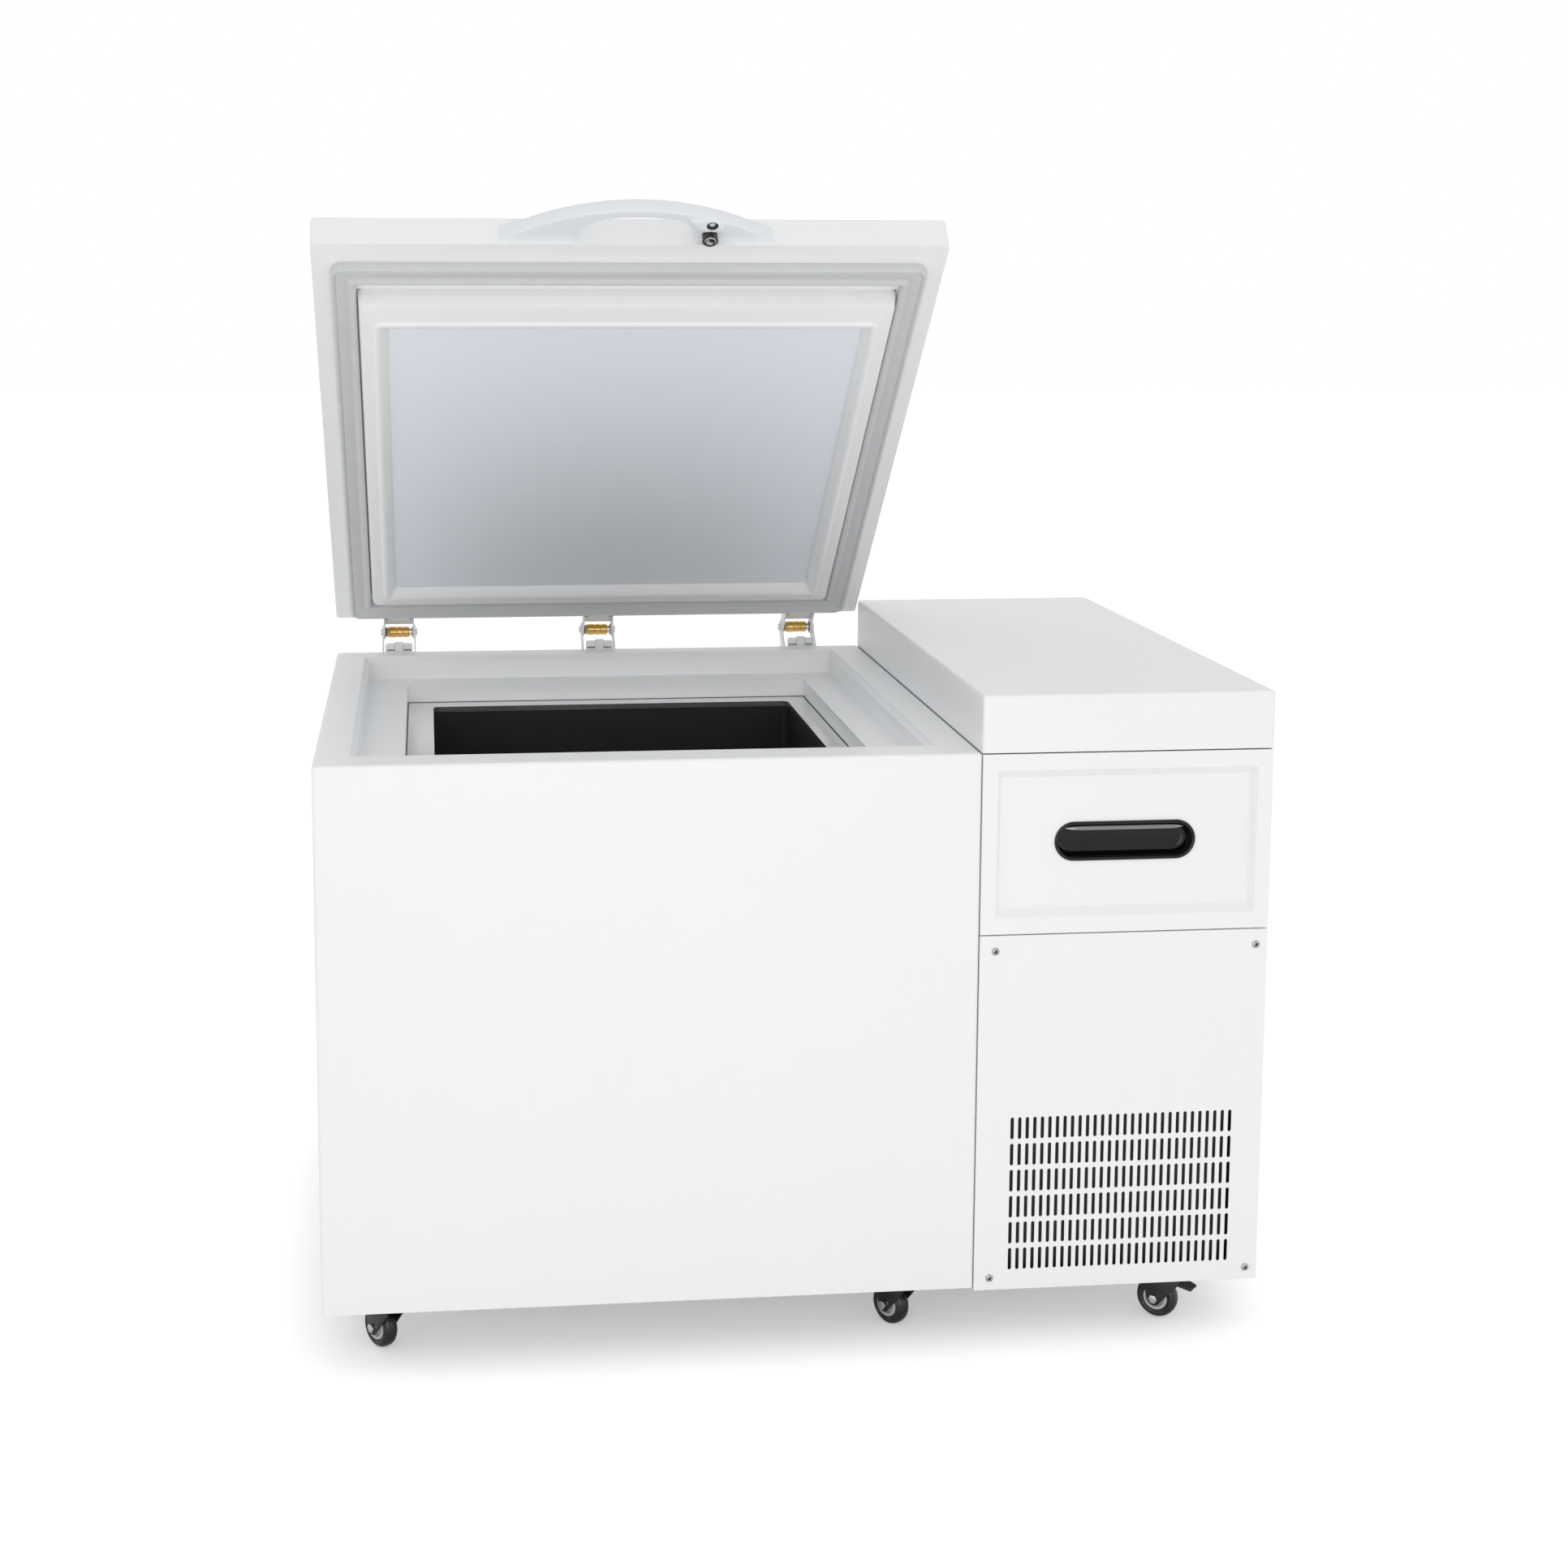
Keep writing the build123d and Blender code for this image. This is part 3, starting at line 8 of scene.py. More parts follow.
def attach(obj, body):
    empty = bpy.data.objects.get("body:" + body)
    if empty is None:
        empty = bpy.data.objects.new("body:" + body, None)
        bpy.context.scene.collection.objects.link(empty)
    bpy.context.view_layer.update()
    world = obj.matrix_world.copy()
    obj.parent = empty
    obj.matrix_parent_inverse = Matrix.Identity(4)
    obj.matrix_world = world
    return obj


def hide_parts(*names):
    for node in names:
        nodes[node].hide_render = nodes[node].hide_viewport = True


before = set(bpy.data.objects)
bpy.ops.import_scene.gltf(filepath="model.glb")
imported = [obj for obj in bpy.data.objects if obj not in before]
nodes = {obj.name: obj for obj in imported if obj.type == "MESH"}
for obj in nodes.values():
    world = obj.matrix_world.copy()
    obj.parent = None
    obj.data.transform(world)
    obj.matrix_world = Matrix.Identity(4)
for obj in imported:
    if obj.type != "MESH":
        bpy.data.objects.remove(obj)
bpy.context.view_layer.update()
print("frame loaded,", len(nodes), "nodes")


# A wire is an output socket that can stand in an expression
class Wire:
    def __init__(self, paint, socket):
        self.paint = paint
        self.socket = socket

    def out(self, name):
        return Wire(self.paint, self.socket.node.outputs[name])

    def __add__(self, other):
        return self.paint.math("ADD", self, other)

    __radd__ = __add__

    def __sub__(self, other):
        return self.paint.math("SUBTRACT", self, other)

    def __rsub__(self, other):
        return self.paint.math("SUBTRACT", other, self)

    def __mul__(self, other):
        return self.paint.math("MULTIPLY", self, other)

    __rmul__ = __mul__


# Paint fills the node tree of its owner, a material or the world
class Paint:
    def __init__(self, owner):
        owner.use_nodes = True
        self.owner = owner
        self.tree = owner.node_tree
        self.tree.nodes.clear()

    # settings are set first, then the sockets, by name or as n0 by number
    def node(self, kind, settings=None, **sockets):
        made = self.tree.nodes.new(kind)
        for key, value in (settings or {}).items():
            setattr(made, key, value)
        for key, value in sockets.items():
            socket = made.inputs[int(key[1:]) if key[1:].isdigit() else key.replace("_", " ")]
            if isinstance(value, Wire):
                self.tree.links.new(value.socket, socket)
            elif socket.type == "RGBA":
                socket.default_value = (*value, 1)
            else:
                socket.default_value = value
        return Wire(self, made.outputs[0]) if made.outputs else None

    def math(self, operation, left, right):
        return self.node("ShaderNodeMath", {"operation": operation}, n0=left, n1=right)

    # the colour sockets of a Mix node have the numbers 6, 7 and 2
    def mix(self, share, low, high):
        return self.node("ShaderNodeMix", {"data_type": "RGBA"}, n0=share, n6=low, n7=high).out(2)

    # place on the piece, in metres, stretched per axis
    def place(self, stretch=(1, 1, 1)):
        spot = self.node("ShaderNodeTexCoord").out("Object")
        return self.node("ShaderNodeMapping", Vector=spot, Scale=stretch)

    def noise(self, scale, detail=3, roughness=0.5, where=None):
        where = where or self.place()
        return self.node("ShaderNodeTexNoise", Vector=where, Scale=scale, Detail=detail, Roughness=roughness)

    def bump(self, height, strength, depth):
        return self.node("ShaderNodeBump", Height=height, Strength=strength, Distance=depth)

    def surface(self, **sockets):
        shader = self.node("ShaderNodeBsdfPrincipled", **sockets)
        self.node("ShaderNodeOutputMaterial", Surface=shader)
        return self.owner


def arc(centre, radius, start, end, steps):       # points from one angle to another about a centre
    angles = [start + (end - start) * step / steps for step in range(steps + 1)]
    return [(centre[0] + radius * cos(angle), centre[1] + radius * sin(angle)) for angle in angles]


def circle(centre, radius, sides):
    angles = [2 * pi * side / sides for side in range(sides)]
    return [(centre[0] + radius * cos(angle), centre[1] + radius * sin(angle)) for angle in angles]


def rectangle(left, right, low, high):
    return [(left, low), (right, low), (right, high), (left, high)]


def roundedBox(width, depth, corner, steps=6):       # outline of a rounded rectangle about the origin
    outline = []
    for quarter, (sideX, sideY) in enumerate(((1, 1), (-1, 1), (-1, -1), (1, -1))):
        centre = (sideX * (width / 2 - corner), sideY * (depth / 2 - corner))
        outline += arc(centre, corner, pi / 2 * quarter, pi / 2 * (quarter + 1), steps)
    return outline


# rounded rectangle grown on all sides and set at a height
def boxRing(middle, size, grow, corner, height, steps=7):
    outline = roundedBox(size[0] + 2 * grow, size[1] + 2 * grow, corner, steps)
    return [(middle[0] + x, middle[1] + y, height) for x, y in outline]


def axes(origin, right, up, out):       # frame from an origin and three directions
    return Matrix.Translation(origin) @ Matrix((right, up, out)).transposed().to_4x4()


toRight = Vector((1, 0, 0))
toBack = Vector((0, 1, 0))
toFront = Vector((0, -1, 0))
toTop = Vector((0, 0, 1))

# points closer than mergeGap become one, and a rounded edge has edgeSteps
mending = {"mergeGap": 0.000001, "edgeSteps": 2, "edgeRound": 0.5}


# A form gathers faces given in a local frame, then becomes a piece of the scene
class Form:
    def __init__(self, place=None):
        self.mesh = bmesh.new()
        self.place = place or Matrix.Identity(4)
        self.shade = 0

    # skin over rings of the same count: with a cap on both ends, or closed round from the last to the first
    def rings(self, rings, around=False, place=None):
        place = place or self.place
        made = [[self.mesh.verts.new(place @ Vector(point)) for point in ring] for ring in rings]
        pairs = list(zip(made, made[1:]))
        if around:
            pairs.append((made[-1], made[0]))
        faces = []
        for low, high in pairs:
            for index in range(len(low)):
                after = (index + 1) % len(low)
                faces.append(self.mesh.faces.new((low[index], low[after], high[after], high[index])))
        if not around:
            faces.append(self.mesh.faces.new(list(reversed(made[0]))))
            faces.append(self.mesh.faces.new(made[-1]))
        for face in faces:
            face.material_index = self.shade
        return faces

    # flat outline pushed from one height to another along the frame's z
    def prism(self, outline, low, high, place=None):
        return self.rings([[(x, y, z) for x, y in outline] for z in (low, high)], place=place)

    # profile of (radius, height) turned about the frame's z
    def lathe(self, profile, sides, place=None, around=False):
        rings = [[(x, y, height) for x, y in circle((0, 0), radius, sides)] for radius, height in profile]
        return self.rings(rings, around, place)

    # edges that turn by more than smooth degrees stay sharp, and get a small round where bevel is given
    def piece(self, name, body, looks, replaced=(), bevel=0, smooth=35):
        mesh = self.mesh
        bmesh.ops.remove_doubles(mesh, verts=mesh.verts, dist=mending["mergeGap"])
        bmesh.ops.dissolve_degenerate(mesh, edges=mesh.edges, dist=mending["mergeGap"])
        bmesh.ops.recalc_face_normals(mesh, faces=mesh.faces)
        limit = radians(smooth)
        if bevel:
            sharp = [edge for edge in mesh.edges if edge.is_manifold and edge.calc_face_angle(0) > limit]
            bmesh.ops.bevel(
                mesh, geom=sharp, offset=bevel, segments=mending["edgeSteps"], profile=mending["edgeRound"],
                affect="EDGES", clamp_overlap=True,
            )
        for face in mesh.faces:
            face.smooth = True
        for edge in mesh.edges:
            edge.smooth = not edge.is_manifold or edge.calc_face_angle(0) < limit
        data = bpy.data.meshes.new(name)
        mesh.to_mesh(data)
        mesh.free()
        made = bpy.data.objects.new(name, data)
        bpy.context.scene.collection.objects.link(made)
        for look in looks:
            data.materials.append(finishes[look])
        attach(made, body)
        if replaced:
            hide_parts(*replaced)


# Painted sheet: a smooth powder coat with a fine orange peel and a little handling dust
# Here and below, a noise is its scale per metre, detail and roughness, and a bump its strength and depth
coat = {
    "light": (0.93, 0.936, 0.94), "dark": (0.91, 0.917, 0.922), "rough": 0.3, "roughSpread": 0.12,
    "cloud": (4.5, 4, 0.6), "peel": (850, 2, 0.5), "bump": (0.25, 0.00002), "gloss": 0.15, "glossRough": 0.2,
}


def paintedSheet(name):
    paint = Paint(bpy.data.materials.new(name))
    cloud = paint.noise(*coat["cloud"])
    return paint.surface(
        Base_Color=paint.mix(cloud, coat["light"], coat["dark"]),
        Roughness=cloud * coat["roughSpread"] + coat["rough"],
        Normal=paint.bump(paint.noise(*coat["peel"]), *coat["bump"]),
        Coat_Weight=coat["gloss"], Coat_Roughness=coat["glossRough"],
    )


# Moulded plastic, enamel and plain paint: a soft sheen, flow clouds and a fine grain
grained = {"cloudDetail": 5, "grainDetail": 3, "noiseRough": 0.6, "roughSpread": 0.12, "bumpStrength": 0.3}
# light and dark tone, roughness, grain per metre and its depth, clouds per metre
grainedLooks = {
    "whiteLining": ((0.93, 0.936, 0.94), (0.905, 0.91, 0.916), 0.36, 1400, 0.00003, 9),
    "sealGrey": ((0.68, 0.69, 0.7), (0.63, 0.64, 0.65), 0.5, 700, 0.00006, 14),
    "paleBluePanel": ((0.88, 0.93, 0.985), (0.865, 0.915, 0.97), 0.6, 500, 0.00003, 5),
    "tankBlack": ((0.006, 0.006, 0.006), (0.012, 0.012, 0.012), 0.5, 900, 0.00005, 20),
    "frameGrey": ((0.42, 0.43, 0.44), (0.36, 0.37, 0.38), 0.45, 900, 0.00005, 10),
    "blackMetal": ((0.013, 0.013, 0.014), (0.025, 0.025, 0.026), 0.34, 700, 0.00005, 30),
    "compressorBlack": ((0.01, 0.01, 0.011), (0.02, 0.02, 0.02), 0.25, 300, 0.0001, 18),
    "blackPlastic": ((0.015, 0.015, 0.015), (0.03, 0.03, 0.03), 0.45, 1400, 0.00003, 9),
    "finStack": ((0.03, 0.03, 0.032), (0.055, 0.055, 0.06), 0.4, 500, 0.0001, 30),
    "blackSleeve": ((0.012, 0.012, 0.012), (0.03, 0.03, 0.03), 0.8, 350, 0.0004, 25),
    "controlGrey": ((0.5, 0.51, 0.52), (0.44, 0.45, 0.46), 0.5, 1400, 0.00003, 9),
    "hingeEnamel": ((0.86, 0.87, 0.88), (0.8, 0.81, 0.82), 0.25, 800, 0.00003, 40),
    "handleGrey": ((0.84, 0.87, 0.905), (0.8, 0.83, 0.865), 0.3, 900, 0.00002, 12),
    "hubGrey": ((0.66, 0.67, 0.68), (0.58, 0.59, 0.6), 0.32, 700, 0.00003, 30),
    "lockPlateGrey": ((0.9, 0.925, 0.95), (0.87, 0.895, 0.92), 0.26, 900, 0.00002, 20),
}


def grainedFinish(name, light, dark, rough, grainScale, grainDepth, cloudScale):
    paint = Paint(bpy.data.materials.new(name))
    cloud = paint.noise(cloudScale, grained["cloudDetail"], grained["noiseRough"])
    grain = paint.noise(grainScale, grained["grainDetail"], grained["noiseRough"])
    return paint.surface(
        Base_Color=paint.mix(cloud, light, dark), Roughness=cloud * grained["roughSpread"] + rough,
        Normal=paint.bump(grain, grained["bumpStrength"], grainDepth),
    )


# Plated or polished metal: nearly plain, with fine pits
plated = {
    "cloudDetail": 5, "cloudRough": 0.65, "roughSpread": 0.16, "pits": (900, 2, 0.5), "bump": (0.2, 0.00002),
}
# light and dark tone, roughness, clouds per metre
platedLooks = {
    "copperTube": ((0.78, 0.4, 0.26), (0.62, 0.27, 0.15), 0.25, 25),
    "zincPlate": ((0.78, 0.79, 0.8), (0.6, 0.61, 0.63), 0.21, 60),
    "screwChrome": ((0.62, 0.62, 0.63), (0.4, 0.4, 0.41), 0.15, 60),
    "polishedBrass": ((0.86, 0.6, 0.22), (0.62, 0.38, 0.1), 0.15, 130),
    "zincBright": ((0.86, 0.87, 0.88), (0.68, 0.69, 0.71), 0.15, 60),
}


def platedFinish(name, light, dark, rough, cloudScale):
    paint = Paint(bpy.data.materials.new(name))
    cloud = paint.noise(cloudScale, plated["cloudDetail"], plated["cloudRough"])
    return paint.surface(
        Base_Color=paint.mix(cloud, light, dark), Metallic=1.0,
        Roughness=cloud * plated["roughSpread"] + rough,
        Normal=paint.bump(paint.noise(*plated["pits"]), *plated["bump"]),
    )


# Glossy plastic, rubber and lacquer under a clear coat
glossy = {
    "cloud": (40, 4, 0.6), "roughSpread": 0.08, "ripple": (300, 2), "bump": (0.08, 0.00003),
    "coatRough": 0.04,
}
# light and dark tone, roughness, weight of the coat, how strongly the surface bends light
glossyLooks = {
    "pullGloss": ((0.003, 0.003, 0.003), (0.006, 0.006, 0.006), 0.08, 0.3, 1.38),
    "rollGloss": ((0.004, 0.004, 0.004), (0.008, 0.008, 0.008), 0.05, 1.0, 2.3),
    "tyreBlack": ((0.006, 0.006, 0.007), (0.016, 0.016, 0.017), 0.2, 0.25, 1.5),
    "forkBlack": ((0.009, 0.009, 0.009), (0.018, 0.018, 0.018), 0.26, 0.2, 1.5),
    "lockBlack": ((0.006, 0.006, 0.006), (0.014, 0.014, 0.014), 0.22, 0.2, 1.5),
}


def glossyFinish(name, light, dark, rough, coatWeight, bend):
    paint = Paint(bpy.data.materials.new(name))
    cloud = paint.noise(*glossy["cloud"])
    return paint.surface(
        Base_Color=paint.mix(cloud, light, dark), Roughness=cloud * glossy["roughSpread"] + rough,
        Normal=paint.bump(paint.noise(*glossy["ripple"]), *glossy["bump"]),
        Coat_Weight=coatWeight, Coat_Roughness=glossy["coatRough"], IOR=bend, Coat_IOR=bend,
    )


# Brushed steel: long fine scratches along one axis over a clouded tone
brushed = {
    "light": (0.95, 0.95, 0.95), "dark": (0.8, 0.8, 0.8), "rough": 0.11, "roughSpread": 0.22,
    "scratch": (1, 4, 0.7), "stretch": (4, 900, 900), "scratchShare": 0.6,
    "cloud": (14, 4, 0.6), "cloudShare": 0.4, "bump": (0.25, 0.00002),
}


def brushedSteel(name):
    paint = Paint(bpy.data.materials.new(name))
    scratch = paint.noise(*brushed["scratch"], paint.place(brushed["stretch"]))
    tone = scratch * brushed["scratchShare"] + paint.noise(*brushed["cloud"]) * brushed["cloudShare"]
    return paint.surface(
        Base_Color=paint.mix(tone, brushed["light"], brushed["dark"]), Metallic=1.0,
        Roughness=scratch * brushed["roughSpread"] + brushed["rough"],
        Normal=paint.bump(scratch, *brushed["bump"]),
    )


# Galvanised sheet: flat spangles of slightly different greys
spangled = {
    "light": (0.56, 0.58, 0.6), "dark": (0.38, 0.4, 0.42), "metal": 0.9, "rough": 0.36, "roughSpread": 0.15,
    "spangles": 90, "spangleShare": 0.6, "cloud": (20, 4), "cloudShare": 0.4,
    "pits": (500, 3), "bump": (0.2, 0.00003),
}


def galvanisedSheet(name):
    paint = Paint(bpy.data.materials.new(name))
    cells = paint.node("ShaderNodeTexVoronoi", Vector=paint.place(), Scale=spangled["spangles"])
    spangle = cells.out("Color")
    tone = spangle * spangled["spangleShare"] + paint.noise(*spangled["cloud"]) * spangled["cloudShare"]
    return paint.surface(
        Base_Color=paint.mix(tone, spangled["light"], spangled["dark"]), Metallic=spangled["metal"],
        Roughness=spangle * spangled["roughSpread"] + spangled["rough"],
        Normal=paint.bump(paint.noise(*spangled["pits"]), *spangled["bump"]),
    )


# Insulating foam: matt yellow with fine cells
foamed = {
    "light": (0.78, 0.66, 0.42), "dark": (0.68, 0.55, 0.32), "rough": 0.9,
    "cells": 700, "cloud": (12, 5, 0.6), "bump": (0.6, 0.0004),
}


def foamBlock(name):
    paint = Paint(bpy.data.materials.new(name))
    cells = paint.node("ShaderNodeTexVoronoi", Vector=paint.place(), Scale=foamed["cells"])
    return paint.surface(
        Base_Color=paint.mix(paint.noise(*foamed["cloud"]), foamed["light"], foamed["dark"]),
        Roughness=foamed["rough"], Normal=paint.bump(cells, *foamed["bump"]),
    )


finishes = {
    "paintedBody": paintedSheet("paintedBody"), "collarSteel": brushedSteel("collarSteel"),
    "galvanised": galvanisedSheet("galvanised"), "foam": foamBlock("foam"),
}
families = ((grainedFinish, grainedLooks), (platedFinish, platedLooks), (glossyFinish, glossyLooks))
for makeFinish, looks in families:
    for name, look in looks.items():
        finishes[name] = makeFinish(name, *look)


def wear(name, finish):       # a node keeps its solid and takes one finish
    nodes[name].data.materials.clear()
    nodes[name].data.materials.append(finishes[finish])


dressing = {
    "paintedBody": ["cabinet_wrap", "lid_shell", "bay_cap", "front_panel", "drawer_front", "bay_side_panel",
                    "bay_back_panel"],
    "whiteLining": ["recess_frame", "lid_plug_frame"],
    "sealGrey": ["lid_gasket"],
    "paleBluePanel": ["lid_inner_panel"],
    "collarSteel": ["chamber_collar"],
    "tankBlack": ["chamber_liner"],
    "copperTube": ["evaporator_coil", "refrigerant_pipes", "filter_drier"],
    "galvanised": ["cabinet_floor", "bay_base", "fan_shroud", "drawer_tray"],
    "frameGrey": ["bay_frame"],
    "zincPlate": ["caster_plates", "drawer_rails", "drawer_slides", "lock_bolt", "hinge_pins"],
    "blackMetal": ["caster_brake_pedal", "fan_motor"],
    "compressorBlack": ["compressor_high_stage", "compressor_low_stage"],
    "blackPlastic": ["fan_rotor", "cable_gland", "lock_cylinder"],
    "finStack": ["condenser"],
    "blackSleeve": ["heat_exchanger"],
    "controlGrey": ["control_box"],
    "screwChrome": ["panel_screws", "hinge_lower_screws", "hinge_upper_screws"],
    "hingeEnamel": ["hinge_lower_brackets", "hinge_upper_brackets"],
    "polishedBrass": ["hinge_barrels"],
    "handleGrey": ["lid_handle", "lock_housing"],
    "pullGloss": ["drawer_pull"],
    "foam": ["cabinet_foam", "lid_foam"],
}
for finish, names in dressing.items():
    for name in names:
        wear(name, finish)
print("finishes on the nodes")

# Casters: black forks and tyres, pale hub rims, bright bolts and ball races
# each cheek is full width down to its shoulder, and wrap is the turn in degrees where the round boss begins
caster = {
    "trail": 0.022, "wheelRadius": 0.0325, "cheekIn": 0.014, "sheet": 0.0025, "crown": 0.069,
    "crownCorner": 0.004, "margin": 0.020, "boss": 0.0115, "shoulder": 0.006, "wrap": 64.8, "wrapSteps": 14,
    "pin": 0.004, "boltHead": 0.0072, "boltRise": 0.0042, "boltGap": 0.0003,
    "plateSheet": 0.0025, "plateGap": 0.0003,
    # radius and distance from the wheel's middle on one side, for the tyre from its bead to its tread
    "tyre": [
        (0.0201, 0.0078), (0.0207, 0.0104), (0.0233, 0.0112), (0.0247, 0.0120), (0.0255, 0.0120),
        (0.0263, 0.0110), (0.0285, 0.0104), (0.0309, 0.0080), (0.0321, 0.0048), (0.0325, 0.0015),
    ],
    # and for the hub from its bearing boss over a sunk web to its rim
    "hub": [
        (0.00432, 0.0135), (0.0088, 0.0135), (0.0110, 0.0119), (0.0116, 0.0045), (0.0145, 0.0045),
        (0.0151, 0.0106), (0.0159, 0.0116), (0.0187, 0.0116), (0.0195, 0.0106), (0.0203, 0.0070),
    ],
    # radius and height over the fork's crown, then radius and drop under the plate
    "raceLow": [
        (0.0052, 0), (0.0180, 0), (0.0190, 0.0012), (0.0190, 0.0040), (0.0172, 0.0055), (0.0172, 0.0068),
        (0.0186, 0.0080),
    ],
    "raceHigh": [(0.0186, 0.0008), (0.0178, 0), (0.0052, 0)],
}
# place across and back, degrees that the fork has swivelled, height of the plate's top
casterPlaces = {
    "front_left": (-0.618, -0.5005, 35, 0.088), "front_right": (0.171, -0.5005, 33, 0.088),
    "rear_left": (-0.618, 0.4255, 20, 0.088), "rear_right": (0.171, 0.4255, 70, 0.088),
    "bay_front": (0.598, -0.5145, 50, 0.0835), "bay_rear": (0.598, 0.4395, 15, 0.0835),
}
# shares of the bolt head's rise and radius
dome = {"skirt": 0.3, "edgeRise": 0.4, "edge": 0.96, "steps": 6}


def bothSides(profile):       # a profile and its mirror image, as one closed outline
    return profile + [(radius, -along) for radius, along in reversed(profile)]


def domeProfile(radius, rise, base):       # low dome on a short skirt, along z
    skirt = rise * dome["skirt"]
    quarter = arc((0, 0), 1, 0, pi / 2, dome["steps"])
    curve = [(radius * x, base + skirt + (rise - skirt) * y) for x, y in quarter]
    return [(0, base), (radius * dome["edge"], base), (radius, base + skirt * dome["edgeRise"])] + curve


def cheekOutline(left, right, top):       # a boss round the axle, hung under the fork's crown
    boss = (caster["trail"], caster["wheelRadius"])
    shoulder = top - caster["shoulder"]
    start = atan2(shoulder - boss[1], left - boss[0]) + radians(caster["wrap"])
    end = 2 * pi + atan2(shoulder - boss[1], right - boss[0]) - radians(caster["wrap"])
    return [
        (left, top), (left, shoulder), *arc(boss, caster["boss"], start, end, caster["wrapSteps"]),
        (right, shoulder), (right, top),
    ]


def makeCaster(name, x, y, turn, above):
    forward = Vector((-sin(radians(turn)), cos(radians(turn)), 0))
    sideways = Vector((-cos(radians(turn)), -sin(radians(turn)), 0))
    forkFrame = axes((x, y, 0), forward, sideways, toTop)
    wheelMiddle = Vector((x, y, caster["wheelRadius"])) + forward * caster["trail"]
    wheelFrame = axes(wheelMiddle, forward, toTop, -sideways)
    wheelNode, forkNode = f"caster_wheel_{name}", f"caster_fork_{name}"
    wheelBody, forkBody = f"wheel_{name}", f"fork_{name}"
    wear(wheelNode, "tyreBlack")
    wear(forkNode, "blackMetal")

    # tyre: crowned tread, rounded shoulders, a moulded line on each side and a dished wall
    tyre = Form(wheelFrame)
    tyre.lathe(bothSides(caster["tyre"]), sides=72, around=True)
    tyre.piece(f"casterTyre_{name}", wheelBody, ["tyreBlack"], [wheelNode], smooth=50)

    hub = Form(wheelFrame)
    hub.lathe(bothSides(caster["hub"]), sides=64, around=True)
    hub.piece(f"casterHub_{name}", wheelBody, ["hubGrey"], smooth=40)

    # fork: two cheeks under a crown plate, with a ball race on top
    fork = Form(forkFrame)
    crownTop = caster["crown"] + caster["sheet"]
    outline = cheekOutline(-caster["margin"], caster["trail"] + caster["margin"], crownTop)
    cheekMiddle = caster["cheekIn"] + caster["sheet"] / 2
    for side in (1, -1):
        cheekFrame = axes(forkFrame @ Vector((0, side * cheekMiddle, 0)), forward, toTop, -sideways)
        fork.prism(outline, -caster["sheet"] / 2, caster["sheet"] / 2, cheekFrame)
    crownLength = caster["trail"] + 2 * caster["margin"]
    crownWidth = 2 * (caster["cheekIn"] + caster["sheet"])
    crown = roundedBox(crownLength, crownWidth, caster["crownCorner"])
    fork.prism([(along + caster["trail"] / 2, across) for along, across in crown], caster["crown"], crownTop)
    fork.piece(f"casterFork_{name}", forkBody, ["forkBlack"], [forkNode], bevel=0.0007)

    race = Form(forkFrame)
    raceTop = above - caster["plateSheet"] - caster["plateGap"]
    race.lathe(
        [(radius, crownTop + rise) for radius, rise in caster["raceLow"]]
        + [(radius, raceTop - drop) for radius, drop in caster["raceHigh"]],
        sides=56, around=True,
    )
    race.piece(f"casterRace_{name}", forkBody, ["zincPlate"])

    # axle: a domed bolt head one side, a nut the other
    axle = Form(wheelFrame)
    reach = caster["cheekIn"] + caster["sheet"] + caster["boltGap"]
    axle.lathe(domeProfile(caster["boltHead"], caster["boltRise"], reach), sides=40)
    axle.lathe(rectangle(0, caster["pin"], -reach, reach), sides=24)
    axle.prism(circle((0, 0), caster["boltHead"], 6), -reach - caster["boltRise"], -reach)
    axle.piece(f"casterAxle_{name}", forkBody, ["zincBright"], bevel=0.0003)


for name, spot in casterPlaces.items():
    makeCaster(name, *spot)
print("casters made")

# Lid frame: x across, y back from the hinge pins, z out of the lid's top when it is closed
hinge = {"y": 0.5555, "z": 0.947, "open": 40.5}       # open is in degrees
lidTurn = radians(hinge["open"])
lidBack = Vector((0, cos(lidTurn), -sin(lidTurn)))
lidUp = Vector((0, sin(lidTurn), cos(lidTurn)))
lidFrame = axes((0, hinge["y"], hinge["z"]), toRight, lidBack, lidUp)

# Handle: an arched bar with a bright ridge, wide feet and a finger gap
handle = {
    "middle": -0.221, "half": 0.209, "reach": 0.068, "bar": 0.017, "front": -1.119, "low": -0.002,
    "high": 0.025, "tip": 0.004, "gapLeft": 0.097, "gapRight": 0.090, "blendLeft": 0.050, "blendRight": 0.034,
    "blendPower": 2.2, "ridge": 0.0032, "ridgeSteps": 4, "topRound": 0.0075, "topSteps": 5, "roundShare": 0.4,
    "crown": 0.0012, "nick": 0.0016, "nickFrom": 0.003, "stations": 96, "blendSteps": 10, "wallGap": 0.00001,
    "stationDigits": 7,
}
# radius of the bar's front
handleArc = (handle["half"] ** 2 + handle["reach"] ** 2) / (2 * handle["reach"])


def handleOuter(dx):       # how far the bar's front stands out at a place across the handle
    return max(handle["tip"], sqrt(handleArc ** 2 - dx ** 2) - handleArc + handle["reach"])


def handleInner(dx):       # how far the finger gap reaches, zero where the feet meet the lid
    if not -handle["gapLeft"] < dx < handle["gapRight"]:
        return 0
    roof = sqrt((handleArc - handle["bar"]) ** 2 - dx ** 2) - handleArc + handle["reach"]
    fromLeft = (dx + handle["gapLeft"]) / handle["blendLeft"]
    fromRight = (handle["gapRight"] - dx) / handle["blendRight"]
    return roof * sqrt(1 - (1 - min(fromLeft, fromRight, 1)) ** handle["blendPower"])


